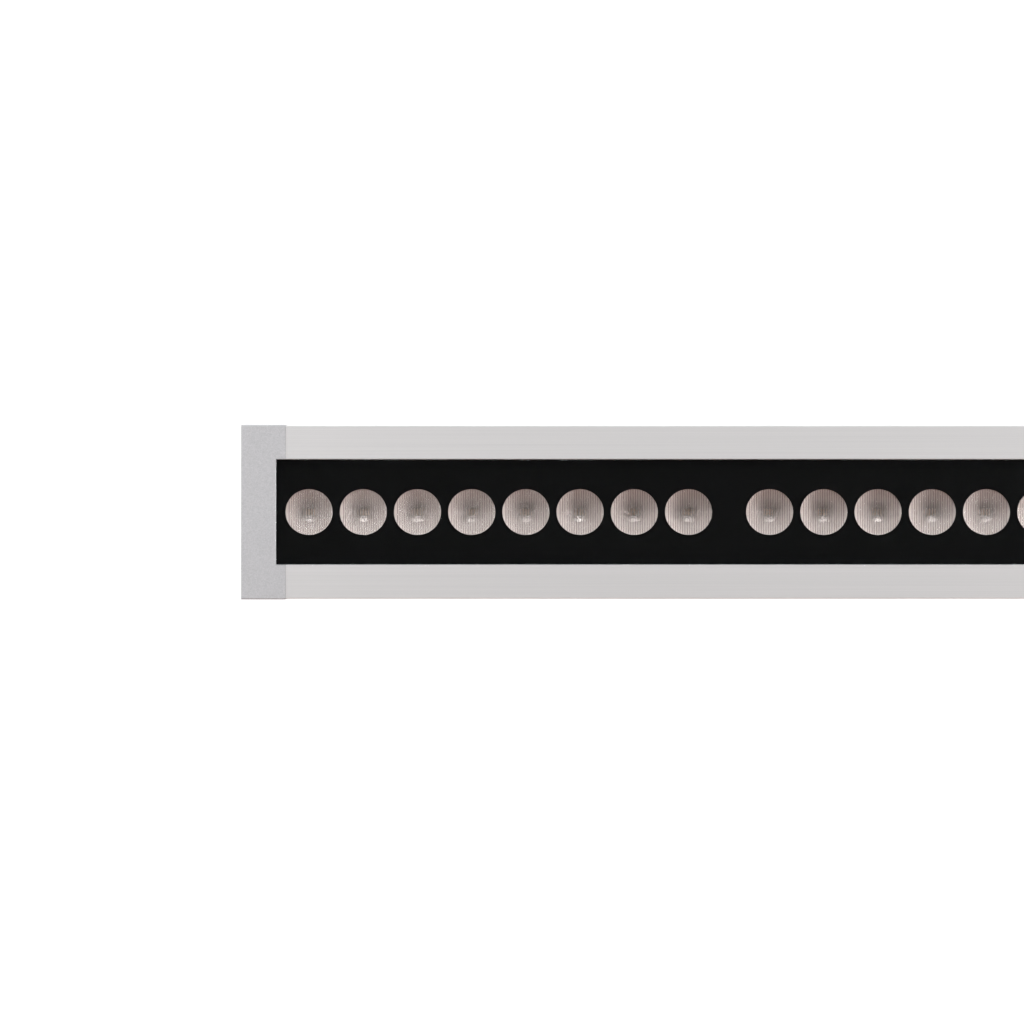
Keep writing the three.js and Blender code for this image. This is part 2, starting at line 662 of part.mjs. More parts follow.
// Chips, relay, memory and terminals: each is [from the board's middle, across, length, width, height].
const BOARD_PARTS = [
  [-59, -14, 26, 18, 9],
  [-21, -4, 14, 14, 3],
  [25, -17, 22, 12, 11],
  [51, 4, 10, 14, 8],
];

function controlBoard() {
  const half = CONTROL_BOARD_LENGTH / 2;
  const y = CONTROL_BOARD_WIDTH / 2;
  const top = BOARD_THICKNESS;
  return joined(
    block([-half, -y, 0], [half, y, top]),
    ...BOARD_PARTS.map(([x, across, dx, dy, dz]) =>
      block([x, across, top / 2], [x + dx, across + dy, top + dz]),
    ),
  );
}

function looms(parent) {
  const end = socketBack - FIT_CLEARANCE;
  const bend = 4 * LOOM_RADIUS;
  const plugZ = driverFrom + DRIVER_HEIGHT / 2;
  const boardEnd = CONTROL_BOARD_LENGTH / 2 + FIT_CLEARANCE;
  const boardPlugZ = controlZ + BOARD_THICKNESS / 2;
  const loom = (name, points) => piece(parent, name, swept(points, LOOM_RADIUS, LOOM_STEP), cableGrey);
  loom("mains_loom", [
    [end, -socketAcross, chamberMiddle],
    [end - bend / 2, -socketAcross, chamberMiddle],
    [controlX + boardEnd - bend, -wallLoomY, lowLoomZ],
    [controlX + boardEnd - 3 * bend, -wallLoomY, lowLoomZ],
    [controlX - boardEnd, -wallLoomY, lowLoomZ],
    [driverEnds[1] + 2 * bend, driverY, plugZ],
    [driverEnds[1] + FIT_CLEARANCE, driverY, plugZ],
  ]);
  loom("power_link_loom", [
    [driverEnds[0] - FIT_CLEARANCE, driverY, plugZ],
    [driverEnds[0] - bend, driverY, plugZ],
    [driverEnds[0] - 4 * bend, -socketAcross, chamberMiddle],
    [-end + bend, -socketAcross, chamberMiddle],
    [-end, -socketAcross, chamberMiddle],
  ]);
  loom("data_link_loom", [
    [controlX - boardEnd, socketAcross, boardPlugZ],
    [controlX - boardEnd - bend, socketAcross, boardPlugZ],
    [driverEnds[1] + bend, wallLoomY, chamberMiddle],
    [driverEnds[0] - bend, wallLoomY, chamberMiddle],
    [-end + 2 * bend, socketAcross, chamberMiddle],
    [-end, socketAcross, chamberMiddle],
  ]);
  loom("data_loom", [
    [end, socketAcross, chamberMiddle],
    [end - bend / 2, socketAcross, chamberMiddle],
    [controlX + boardEnd + bend / 4, socketAcross, boardPlugZ],
    [controlX + boardEnd, socketAcross, boardPlugZ],
  ]);
  const leadRadius = LOOM_RADIUS - FIT_CLEARANCE;
  const leadFrom = driverFrom + DRIVER_HEIGHT + FIT_CLEARANCE;
  piece(parent, "led_lead", rodZ(leadRadius, leadFrom, boardTop + LOOM_RADIUS, leadX, 0, 6), cableGrey);
}

// ---- Control panel, drawn about its own middle: x along the batten, y through the side, z up ----

const buttonX = (i) => displayX + DISPLAY_LENGTH / 2 + (i + 1) * BUTTON_PITCH;

// A block in the side facing -Y, from depth a out to depth b, each measured from the batten's middle plane.
const sideBlock = (x, halfX, halfZ, a, b) => block([x - halfX, -b, -halfZ], [x + halfX, -a, halfZ]);

function controlPanel() {
  const hole = BUTTON_SIDE / 2 + BUTTON_CLEARANCE;
  const out = panelFace + CUT_OVERRUN;
  const back = panelBack - CUT_OVERRUN;
  const windowX = DISPLAY_LENGTH / 2 + WINDOW_CLEARANCE;
  const windowZ = DISPLAY_HEIGHT / 2 + WINDOW_CLEARANCE;
  return cut(
    sideBlock(0, PANEL_LENGTH / 2, panelHeight / 2, panelBack, panelFace),
    sideBlock(displayX, windowX, windowZ, panelFace - DISPLAY_THICKNESS - STACK_GAP, out),
    ...BUTTONS.flatMap((_, i) => [
      sideBlock(buttonX(i), hole, hole, back, out),
      sideBlock(buttonX(i), hole + BUTTON_FLANGE, hole + BUTTON_FLANGE, back, panelBack + buttonRoom),
    ]),
  );
}

const displayWindow = () =>
  sideBlock(displayX, DISPLAY_LENGTH / 2, DISPLAY_HEIGHT / 2, panelFace - DISPLAY_THICKNESS, panelFace);

function button(i) {
  const half = BUTTON_SIDE / 2;
  const seat = panelBack + buttonRoom - STACK_GAP;
  return joined(
    sideBlock(buttonX(i), half, half, seat - BUTTON_FLANGE_THICKNESS, panelFace + BUTTON_PROUD),
    sideBlock(buttonX(i), half + BUTTON_FLANGE, half + BUTTON_FLANGE, seat - BUTTON_FLANGE_THICKNESS, seat),
  );
}

// ---- Fittings on the back -----------------------------------------------------------------------

const breatherVent = () =>
  turned(
    [
      [0, -STACK_GAP - VENT_HEIGHT],
      [VENT_RADIUS, -STACK_GAP - VENT_HEIGHT],
      [VENT_RADIUS, -STACK_GAP],
      [VENT_STEM_RADIUS, -STACK_GAP],
      [VENT_STEM_RADIUS, FLOOR_THICKNESS + VENT_GRIP],
      [0, FLOOR_THICKNESS + VENT_GRIP],
    ],
    ROUND,
    LATHE_TO_Z,
  );

// A U of wire whose legs pass through the floor of the housing.
function safetyLoop() {
  const bendZ = BAIL_WIRE_RADIUS + BAIL_HALF_SPAN - BAIL_DROP;
  const arc = Array.from({ length: BAIL_ARC + 1 }, (_, i) => {
    const a = Math.PI + (Math.PI * i) / BAIL_ARC;
    return [BAIL_HALF_SPAN * Math.cos(a), 0, bendZ + BAIL_HALF_SPAN * Math.sin(a)];
  });
  const legTop = FLOOR_THICKNESS + BAIL_GRIP;
  const leg = (side) =>
    rodZ(BAIL_WIRE_RADIUS, bendZ - STACK_GAP, legTop, side * BAIL_HALF_SPAN, 0, SMALL_ROUND);
  return joined(swept(arc, BAIL_WIRE_RADIUS, (Math.PI * BAIL_HALF_SPAN) / BAIL_ARC), leg(-1), leg(1));
}

// ---- Feet, drawn about the tilt axis ------------------------------------------------------------

function foot() {
  const x = BASE_LENGTH / 2;
  const y = BASE_WIDTH / 2;
  const base = roundedBox(-x, -y, x, y, BASE_CORNER);
  base.holes.push(circlePath(BASE_BOLT_RADIUS));
  for (const sx of [-1, 1]) {
    for (const sy of [-1, 1]) {
      const [hx, hy] = [sx * (x - BASE_SCREW_INSET), sy * (y - BASE_SCREW_INSET)];
      base.holes.push(circlePath(BASE_SCREW_RADIUS, hx, hy, SMALL_ROUND));
    }
  }
  const ears = [-earOutside, earInside].map((from) => {
    const ear = new THREE.Shape();
    ear.absarc(0, 0, EAR_RADIUS, 0, Math.PI);
    ear.lineTo(-EAR_RADIUS, SHEET / 2 - AXIS_HEIGHT);
    ear.lineTo(EAR_RADIUS, SHEET / 2 - AXIS_HEIGHT);
    ear.holes.push(circlePath(pivotHole));
    return alongX(ear, from, from + SHEET, EAR_ARC);
  });
  return joined(alongZ(base, -AXIS_HEIGHT, SHEET - AXIS_HEIGHT), ...ears);
}

function ring(radius, hole, x0, x1) {
  const shape = new THREE.Shape(circlePoints(radius, 0, 0, ROUND));
  shape.holes.push(circlePath(hole));
  return alongX(shape, x0, x1);
}

// The bolt that the foot and its carriage turn on, with its head at the -X ear and its thread in the knob.
function pivotBolt() {
  const seat = -earOutside - FIT_CLEARANCE;
  return joined(
    rodX(PIVOT_HEAD_RADIUS, seat - PIVOT_HEAD_HEIGHT, seat, 0, 0, 6),
    rodX(PIVOT_RADIUS, seat - PIVOT_HEAD_HEIGHT / 2, knobFrom + PIVOT_IN_KNOB),
  );
}

function tiltKnob() {
  const lobed = new THREE.Shape(
    Array.from({ length: KNOB_LOBES * LOBE_POINTS }, (_, i) => {
      const a = (2 * Math.PI * i) / (KNOB_LOBES * LOBE_POINTS);
      const r = KNOB_RADIUS + KNOB_LOBE * Math.cos(KNOB_LOBES * a);
      return new THREE.Vector2(r * Math.cos(a), r * Math.sin(a));
    }),
  );
  return cut(
    joined(
      alongX(lobed, knobFrom + KNOB_HUB_LENGTH, knobFrom + KNOB_HUB_LENGTH + KNOB_LENGTH),
      rodX(KNOB_HUB_RADIUS, knobFrom, knobFrom + KNOB_HUB_LENGTH + KNOB_LENGTH / 2),
    ),
    rodX(pivotHole, knobFrom - CUT_OVERRUN, knobFrom + PIVOT_IN_KNOB + FIT_CLEARANCE),
  );
}

// A block that grips the rail, with a lug that hangs between the ears of the foot.
function carriage() {
  const top = AXIS_TO_BACK - CARRIAGE_RUNNING_GAP;
  const x = CARRIAGE_LENGTH / 2;
  const channel = mirrored([
    ...railFlank(RAIL_CLEARANCE),
    [RAIL_NECK + RAIL_CLEARANCE, CUT_OVERRUN],
  ]);
  const lug = new THREE.Shape();
  lug.absarc(0, 0, LUG_RADIUS, Math.PI, 2 * Math.PI);
  lug.lineTo(LUG_RADIUS, carriageUnder + CUT_OVERRUN);
  lug.lineTo(-LUG_RADIUS, carriageUnder + CUT_OVERRUN);
  return cut(
    joined(
      alongX(
        roundedBox(-CARRIAGE_WIDTH / 2, carriageUnder, CARRIAGE_WIDTH / 2, top, BODY_EDGE),
        -x,
        x,
      ),
      alongX(lug, -LUG_WIDTH / 2, LUG_WIDTH / 2, EAR_ARC),
    ),
    alongX(outline(channel), -x - CUT_OVERRUN, x + CUT_OVERRUN).translate(0, 0, AXIS_TO_BACK),
    rodX(pivotHole, -LUG_WIDTH / 2 - CUT_OVERRUN, LUG_WIDTH / 2 + CUT_OVERRUN),
    rodZ(GRUB_RADIUS + FIT_CLEARANCE, carriageUnder - CUT_OVERRUN, railUnder, -grubX, 0),
  );
}

function carriageScrew() {
  const top = railUnder - FIT_CLEARANCE / 2;
  return cut(
    rodZ(GRUB_RADIUS, carriageUnder + STACK_GAP, top, -grubX),
    rodZ(GRUB_KEY_RADIUS, carriageUnder - CUT_OVERRUN, carriageUnder + GRUB_KEY_DEPTH, -grubX, 0, 6),
  );
}

// ---- Assembly -----------------------------------------------------------------------------------

function luminaire() {
  const group = new THREE.Group();
  group.position.z = backHeight;
  piece(group, "housing", housing(), anodised);
  piece(group, "cover_glass", windowPlate(glassTop - GLASS_THICKNESS, glassTop), glass);
  piece(group, "lens_mask", lensMask(), maskBlack);
  piece(group, "cover_gasket", coverGasket(), silicone);
  for (let i = 0; i < GROUPS; i++) {
    piece(group, `lens_array_${i + 1}`, lensArray(), acrylic, groupX(i));
    piece(group, `led_board_${i + 1}`, ledBoard(), boardWhite, groupX(i));
  }
  piece(group, "driver_module", driverModule(), zinc);
  piece(group, "control_board", controlBoard(), boardGreen, controlX, 0, controlZ);
  looms(group);
  piece(group, "control_panel", controlPanel(), blackPlastic, panelX, 0, panelMiddle);
  piece(group, "display_window", displayWindow(), smoked, panelX, 0, panelMiddle);
  BUTTONS.forEach((name, i) => piece(group, name, button(i), nylon, panelX, 0, panelMiddle));
  piece(group, "breather_vent", breatherVent(), blackPlastic, ventX, ventY);
  piece(group, "safety_loop", safetyLoop(), stainless, 0, bailY);

  const ends = [
    { side: "left", turn: Math.PI, power: "power_outlet", data: "data_output", powerColour: blackPlastic },
    { side: "right", turn: 0, power: "power_inlet", data: "data_input", powerColour: powerBlue },
  ];
  for (const { side, turn, power, data, powerColour } of ends) {
    const end = new THREE.Group();
    end.rotation.z = turn;
    group.add(end);
    const jointX = length / 2 - CAP_LENGTH;
    const across = (turn ? 1 : -1) * socketAcross; // power sockets on the -Y side at both ends
    piece(end, `end_cap_${side}`, endCap(), blasted, jointX);
    piece(end, `end_gasket_${side}`, endGasket(), silicone, jointX);
    const faceX = length / 2 - SOCKET_SUNK;
    piece(end, power, socket(POWER_SOCKET_RADIUS), powerColour, faceX, across, chamberMiddle);
    piece(end, data, socket(DATA_SOCKET_RADIUS), blackPlastic, faceX, -across, chamberMiddle);
    screwPlaces.forEach(([y, z], i) =>
      piece(end, `cap_screw_${side}_${i + 1}`, capScrew(), stainless, length / 2 - FIT_CLEARANCE, y, z),
    );
  }
  return group;
}

function footAssembly(side, x) {
  const group = new THREE.Group();
  group.position.set(x, 0, AXIS_HEIGHT);
  piece(group, `foot_${side}`, foot(), blackSteel);
  piece(group, `pivot_bolt_${side}`, pivotBolt(), stainless);
  const washerFrom = LUG_WIDTH / 2 + FIT_CLEARANCE;
  const washer = ring(WASHER_RADIUS, pivotHole, washerFrom, washerFrom + WASHER_THICKNESS);
  piece(group, `friction_washer_${side}_1`, washer.clone().rotateZ(Math.PI), nylon);
  piece(group, `friction_washer_${side}_2`, washer, nylon);
  piece(group, `tilt_knob_${side}`, tiltKnob(), blackPlastic);
  piece(group, `carriage_${side}`, carriage(), zinc);
  piece(group, `carriage_screw_${side}`, carriageScrew(), blackSteel);
  return group;
}

const batten = new THREE.Group();
batten.add(luminaire(), footAssembly("left", -FOOT_X), footAssembly("right", FOOT_X));

export default batten;
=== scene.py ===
# %% [markdown]
# # A led strip batten, one metre long
# The object is a stage light: an anodised aluminium bar with a row of small round lenses behind a black
# mask and a sheet of glass. Two end caps close the bar, sockets sit flush in the caps, a control panel
# sits in one side, and two feet under the back let it tilt. The frame that we load first holds every
# part at its true size and place. This lesson only makes the surfaces finer and gives them a finish.

# %% Load the frame
import json
import math

import bmesh
import bpy
from mathutils import Matrix, Vector


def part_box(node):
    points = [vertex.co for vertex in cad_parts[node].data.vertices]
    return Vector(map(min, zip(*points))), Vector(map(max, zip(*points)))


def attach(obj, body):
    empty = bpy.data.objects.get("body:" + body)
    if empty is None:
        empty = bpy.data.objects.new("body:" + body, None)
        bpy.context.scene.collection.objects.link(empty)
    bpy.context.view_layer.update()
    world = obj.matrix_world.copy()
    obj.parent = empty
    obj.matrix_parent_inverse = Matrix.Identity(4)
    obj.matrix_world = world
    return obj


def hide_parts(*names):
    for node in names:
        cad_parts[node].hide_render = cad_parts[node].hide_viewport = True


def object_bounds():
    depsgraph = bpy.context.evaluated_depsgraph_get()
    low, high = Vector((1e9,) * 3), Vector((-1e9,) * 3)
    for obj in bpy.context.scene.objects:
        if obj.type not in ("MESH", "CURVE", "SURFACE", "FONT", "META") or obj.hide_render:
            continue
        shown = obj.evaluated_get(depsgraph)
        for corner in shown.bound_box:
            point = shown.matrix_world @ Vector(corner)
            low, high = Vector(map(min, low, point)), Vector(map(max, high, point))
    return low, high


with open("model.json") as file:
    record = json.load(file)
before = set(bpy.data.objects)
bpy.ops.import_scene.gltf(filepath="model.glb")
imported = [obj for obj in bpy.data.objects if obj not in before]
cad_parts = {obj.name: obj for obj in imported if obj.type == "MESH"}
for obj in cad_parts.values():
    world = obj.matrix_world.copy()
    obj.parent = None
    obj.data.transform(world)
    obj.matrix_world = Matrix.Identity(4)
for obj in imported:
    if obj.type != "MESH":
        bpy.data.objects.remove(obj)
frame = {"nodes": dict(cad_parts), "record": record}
cad_low, cad_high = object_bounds()
record = frame["record"]
bodies = record["behaviour"]["bodies"]
body_of = {node: body for body, nodes in bodies.items() for node in nodes}
scene = bpy.context.scene

# %% [markdown]
# ## Where things are
# Lengths here are metres, so a millimetre is 0.001. Everything is placed from the boxes of the frame's
# nodes. Two small helpers give the middle of a node and the way out at its end of the bar.

# %% Measuring helpers
MM = 0.001
X, Y, Z = Vector((1, 0, 0)), Vector((0, 1, 0)), Vector((0, 0, 1))
SIDES = ("left", "right")


def middle(node):
    low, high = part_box(node)
    return (low + high) / 2


def outward(node):
    """+X for a piece at the right end of the bar and -X for one at the left end."""
    return X if middle(node).x > 0 else -X


front_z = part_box("housing")[1].z
print("front of the bar at", round(front_z / MM, 1), "mm above the floor")

# %% [markdown]
# ## Camera
# The bar lies on its back and shines up, so a camera that looks at its front looks straight down. A long
# lens from far away keeps the edges parallel. The view takes in the left end and less than half of the
# bar. The distance follows from how wide a piece of the front the view should hold.

# %% Camera
VIEW_WIDTH = 433.9 * MM
VIEW_FROM_END = 114.8 * MM
FOCAL_LENGTH = 200
SENSOR_WIDTH = 36
FAR_CLIP = 100
camera_data = bpy.data.cameras.new("camera")
camera_data.lens = FOCAL_LENGTH
camera_data.sensor_width = SENSOR_WIDTH
camera_data.clip_end = FAR_CLIP
camera = bpy.data.objects.new("camera", camera_data)
scene.collection.objects.link(camera)
distance = VIEW_WIDTH * FOCAL_LENGTH / SENSOR_WIDTH
camera.location = (cad_low.x + VIEW_FROM_END, 0, front_z + distance)
scene.camera = camera
print("camera", round(distance, 2), "m above the front")

# %% [markdown]
# ## Floor
# The bar lies on a table that is lit from below. A plane could catch light from lamps above it, but then
# the bar would lay a grey shadow on it. So its finish gives off white light by itself, and the table stays
# white up to the horizon.

# %% Floor
FLOOR_SIZE = 60
FLOOR_GLOW = 1.0
FLOOR_GAP = 0.2 * MM


def simple_principled(name, color, roughness):
    material = bpy.data.materials.new(name)
    material.use_nodes = True
    shader = material.node_tree.nodes["Principled BSDF"]
    shader.inputs["Base Color"].default_value = (*color, 1)
    shader.inputs["Roughness"].default_value = roughness
    return material


floor_shape = bmesh.new()
bmesh.ops.create_grid(floor_shape, x_segments=1, y_segments=1, size=FLOOR_SIZE / 2)
floor_mesh = bpy.data.meshes.new("floor")
floor_shape.to_mesh(floor_mesh)
floor_shape.free()
floor_paint = simple_principled("floor_paint", (0.25, 0.25, 0.25), 0.9)
floor_shader = floor_paint.node_tree.nodes["Principled BSDF"]
floor_shader.inputs["Emission Color"].default_value = (1, 1, 1, 1)
floor_shader.inputs["Emission Strength"].default_value = FLOOR_GLOW
floor_mesh.materials.append(floor_paint)
floor = bpy.data.objects.new("floor", floor_mesh)
floor.location.z = cad_low.z - FLOOR_GAP
scene.collection.objects.link(floor)
print("floor", FLOOR_SIZE, "m wide")

# %% [markdown]
# ## Light
# The strongest softbox is slightly cool and stands beyond the far long side of the bar. It lights the near
# wall of each lens and leaves the far wall in shade. A wide warm one on the near side turns that shade
# brown. Two narrower ones stand off the ends, and the left one is small because it is close. Nothing hangs
# right above the bar, so its flat glass mirrors only darkness and the mask stays black. The view transform
# is Standard, so that white stays white.

# %% Light
WORLD_STRENGTH = 0.03
LIGHT_AIM = Vector((-0.2, 0, 0.1))
world = bpy.data.worlds.new("studio")
world.use_nodes = True
background = world.node_tree.nodes["Background"]
background.inputs["Color"].default_value = (0.9, 0.95, 1.0, 1)
background.inputs["Strength"].default_value = WORLD_STRENGTH
scene.world = world
scene.view_settings.view_transform = "Standard"


def softbox(name, place, size, power, color=(1, 1, 1)):
    """A rectangular lamp that faces the bar and that no camera ray sees."""
    data = bpy.data.lights.new(name, "AREA")
    data.color = color
    data.shape = "RECTANGLE"
    data.size, data.size_y = size
    data.energy = power
    lamp = bpy.data.objects.new(name, data)
    lamp.location = place
    lamp.rotation_euler = (LIGHT_AIM - Vector(place)).to_track_quat("-Z", "Y").to_euler()
    lamp.visible_camera = False
    scene.collection.objects.link(lamp)


softbox("key_far_side", (-0.3, 1.6, 1.5), (2.6, 0.7), 51, color=(0.93, 0.98, 1.0))
softbox("fill_near_side", (0.1, -2.2, 1.3), (2.6, 0.8), 15, color=(1.0, 0.60, 0.48))
softbox("end_left", (-0.88, 0.04, 0.36), (0.2, 0.5), 1.6)
softbox("end_right", (1.5, 0.05, 1.0), (0.4, 0.9), 36)

# %% [markdown]
# ## Shared finish effects
# Several finishes here have the same kinds of unevenness, so each effect is a node group that is built
# once and placed in many materials. The groups read the piece's own Object coordinates, which are metres
# in the frame, so the grain has the same real size on every piece.

# %% Building node groups


def start_group(name, inputs, outputs):
    """An empty shader node group with float inputs {name: default} and outputs {name: socket type}."""
    group = bpy.data.node_groups.new(name, "ShaderNodeTree")
    for label, default in inputs.items():
        socket = group.interface.new_socket(name=label, in_out="INPUT", socket_type="NodeSocketFloat")
        socket.default_value = default
    for label, kind in outputs.items():
        group.interface.new_socket(name=label, in_out="OUTPUT", socket_type=kind)
    return group, group.nodes.new("NodeGroupInput"), group.nodes.new("NodeGroupOutput")


def add(tree, kind, values=None, **settings):
    """Adds a node, sets its settings, and sets or links its inputs."""
    node = tree.nodes.new(kind)
    for key, value in settings.items():
        setattr(node, key, value)
    for key, value in (values or {}).items():
        if isinstance(value, bpy.types.NodeSocket):
            tree.links.new(value, node.inputs[key])
        else:
            node.inputs[key].default_value = value
    return node


def combine(tree, operation, a, b):
    return add(tree, "ShaderNodeMath", {0: a, 1: b}, operation=operation).outputs[0]


print("helpers for node groups are ready")

# %% [markdown]
# ### Drawn lines
# An extrusion carries faint straight scratches from its die, and they all run along the bar. Noise that is
# stretched a hundred times along X looks just like that. The group gives a mask from 0 to 1 and a height.

# %% Drawn lines group


def make_drawn_lines():
    group, given, result = start_group(
        "drawn_lines", {"Lines per metre": 1400.0, "Stretch": 0.004},
        {"Mask": "NodeSocketFloat", "Height": "NodeSocketFloat"})
    place = add(group, "ShaderNodeTexCoord").outputs["Object"]
    along = combine(group, "MULTIPLY", given.outputs["Lines per metre"], given.outputs["Stretch"])
    scale = add(group, "ShaderNodeCombineXYZ", {
        0: along, 1: given.outputs["Lines per metre"], 2: given.outputs["Lines per metre"]})
    stretched = add(group, "ShaderNodeVectorMath", {0: place, 1: scale.outputs[0]}, operation="MULTIPLY")
    fine = add(group, "ShaderNodeTexNoise", {"Vector": stretched.outputs[0], "Scale": 1.0, "Detail": 3.0})
    broad = add(group, "ShaderNodeTexNoise", {"Vector": stretched.outputs[0], "Scale": 0.12, "Detail": 2.0})
    both = combine(group, "ADD", fine.outputs["Fac"], broad.outputs["Fac"])
    mask = combine(group, "MULTIPLY", both, 0.5)
    group.links.new(mask, result.inputs["Mask"])
    group.links.new(fine.outputs["Fac"], result.inputs["Height"])
    return group


drawn_lines = make_drawn_lines()
print("group", drawn_lines.name)

# %% [markdown]
# ### Speckle
# Bead blasting, powder coat, moulded texture and castings are all covered in small bumps. They only differ
# in the size of the bump and in how deep it is. One group with a grain size serves them all.

# %% Speckle group


def make_speckle():
    group, given, result = start_group(
        "speckle", {"Grain": 0.0004, "Blotch": 0.02},
        {"Mask": "NodeSocketFloat", "Blotches": "NodeSocketFloat", "Height": "NodeSocketFloat"})
    place = add(group, "ShaderNodeTexCoord").outputs["Object"]
    per_grain = combine(group, "DIVIDE", 1.0, given.outputs["Grain"])
    per_blotch = combine(group, "DIVIDE", 1.0, given.outputs["Blotch"])
    fine = add(group, "ShaderNodeTexNoise", {"Vector": place, "Scale": per_grain, "Detail": 2.0,
                                            "Roughness": 0.6})
    dots = add(group, "ShaderNodeTexVoronoi", {"Vector": place, "Scale": per_grain, "Randomness": 1.0},
               feature="SMOOTH_F1")
    broad = add(group, "ShaderNodeTexNoise", {"Vector": place, "Scale": per_blotch, "Detail": 3.0})
    height = combine(group, "SUBTRACT", fine.outputs["Fac"], dots.outputs["Distance"])
    group.links.new(fine.outputs["Fac"], result.inputs["Mask"])
    group.links.new(broad.outputs["Fac"], result.inputs["Blotches"])
    group.links.new(height, result.inputs["Height"])
    return group


speckle = make_speckle()
print("group", speckle.name)

# %% [markdown]
# ### Edge wear
# Paint and oxide wear thin on corners. A Bevel node rounds the normal near an edge, so where the rounded
# normal differs from the true one there is an edge close by. Noise breaks the wear up.

# %% Edge wear group


def make_edge_wear():
    group, given, result = start_group(
        "edge_wear", {"Reach": 0.0006, "Amount": 1.0}, {"Mask": "NodeSocketFloat"})
    place = add(group, "ShaderNodeTexCoord").outputs["Object"]
    true_normal = add(group, "ShaderNodeNewGeometry").outputs["Normal"]
    rounded = add(group, "ShaderNodeBevel", {"Radius": given.outputs["Reach"]}, samples=4)
    same = add(group, "ShaderNodeVectorMath", {0: rounded.outputs[0], 1: true_normal},
               operation="DOT_PRODUCT").outputs["Value"]
    edge = combine(group, "SUBTRACT", 1.0, same)
    chips = add(group, "ShaderNodeTexNoise", {"Vector": place, "Scale": 260.0, "Detail": 4.0}).outputs["Fac"]
    broken = combine(group, "MULTIPLY", edge, combine(group, "MULTIPLY", chips, 9.0))
    shown = combine(group, "MULTIPLY", broken, given.outputs["Amount"])
    mask = add(group, "ShaderNodeClamp", {"Value": shown}).outputs[0]
    group.links.new(mask, result.inputs["Mask"])
    return group


edge_wear = make_edge_wear()
print("group", edge_wear.name)

# %% [markdown]
# ## Finishes
# Each material below is one real finish. A helper makes the Principled shader, and it can vary the
# colour between two tones and the roughness between two values by a mask. Numbers that hold for the
# whole surface go straight on the shader's sockets.

# %% Material helpers


def start_material(name, metallic=0.0, **sockets):
    material = bpy.data.materials.new(name)
    material.use_nodes = True
    tree = material.node_tree
    shader = tree.nodes["Principled BSDF"]
    shader.inputs["Metallic"].default_value = metallic
    for label, value in sockets.items():
        shader.inputs[label.replace("_", " ")].default_value = value
    return material, tree, shader


def use_group(tree, group, **values):
    node = tree.nodes.new("ShaderNodeGroup")
    node.node_tree = group
    for label, value in values.items():
        node.inputs[label.replace("_", " ")].default_value = value
    return node


def two_tone(tree, shader, mask, dark, light):
    """Base Color goes from dark to light with the mask. Returns the mixed colour."""
    mix = add(tree, "ShaderNodeMix", {"Factor": mask}, data_type="RGBA")
    mix.inputs["A"].default_value = (*dark, 1)
    mix.inputs["B"].default_value = (*light, 1)
    colour = next(o for o in mix.outputs if o.type == "RGBA")
    tree.links.new(colour, shader.inputs["Base Color"])
    return colour


def vary_roughness(tree, shader, mask, low, high):
    spread = add(tree, "ShaderNodeMapRange", {"Value": mask, "To Min": low, "To Max": high})
    tree.links.new(spread.outputs[0], shader.inputs["Roughness"])


def bump(tree, shader, height, depth, strength=1.0):
    """Raises the surface by depth in metres where height is 1."""
    node = add(tree, "ShaderNodeBump", {"Height": height, "Distance": depth, "Strength": strength})
    tree.links.new(node.outputs[0], shader.inputs["Normal"])


print("helpers for materials are ready")

# %% [markdown]
# ### Aluminium: anodised, blasted and cast
# The bar is drawn aluminium with a clear anodised layer: pale, satin, with die lines along its length. The
# end caps are bead-blasted, which is duller and slightly darker with a tight sparkle. The rail carriages
# are die cast and tumbled, so their bumps are larger and their colour is greyer.

# %% Aluminium finishes


def make_anodised():
    material, tree, shader = start_material("anodised", metallic=0.45)
    lines = use_group(tree, drawn_lines, Lines_per_metre=1500.0)
    two_tone(tree, shader, lines.outputs["Mask"], (0.63, 0.618, 0.614), (0.805, 0.785, 0.78))
    vary_roughness(tree, shader, lines.outputs["Mask"], 0.52, 0.42)
    bump(tree, shader, lines.outputs["Height"], 0.000003, 0.5)
    return material


def make_blasted():
    material, tree, shader = start_material("blasted", metallic=0.3)
    grain = use_group(tree, speckle, Grain=0.0005, Blotch=0.03)
    two_tone(tree, shader, grain.outputs["Mask"], (0.342, 0.338, 0.347), (0.578, 0.569, 0.58))
    vary_roughness(tree, shader, grain.outputs["Blotches"], 0.72, 0.6)
    bump(tree, shader, grain.outputs["Height"], 0.00002, 0.6)
    return material


def make_cast():
    material, tree, shader = start_material("cast_alloy", metallic=0.85)
    grain = use_group(tree, speckle, Grain=0.0011, Blotch=0.012)
    two_tone(tree, shader, grain.outputs["Blotches"], (0.34, 0.345, 0.35), (0.55, 0.55, 0.555))
    vary_roughness(tree, shader, grain.outputs["Mask"], 0.55, 0.38)
    bump(tree, shader, grain.outputs["Height"], 0.00004, 0.5)
    return material


anodised, blasted, cast_alloy = make_anodised(), make_blasted(), make_cast()
print("aluminium:", anodised.name, blasted.name, cast_alloy.name)

# %% [markdown]
# ### Steel: turned stainless and powder coat
# Screws and the pivot bolts are bright stainless with fine turning marks. The feet are steel plate under
# a black powder coat, whose surface is a small orange peel and which is rubbed grey along its edges.

# %% Steel finishes


def make_stainless():
    material, tree, shader = start_material("stainless", metallic=1.0)
    grain = use_group(tree, speckle, Grain=0.0002, Blotch=0.004)
    two_tone(tree, shader, grain.outputs["Blotches"], (0.44, 0.44, 0.43), (0.66, 0.66, 0.65))
    vary_roughness(tree, shader, grain.outputs["Mask"], 0.34, 0.2)
    bump(tree, shader, grain.outputs["Height"], 0.000004, 0.5)
    return material


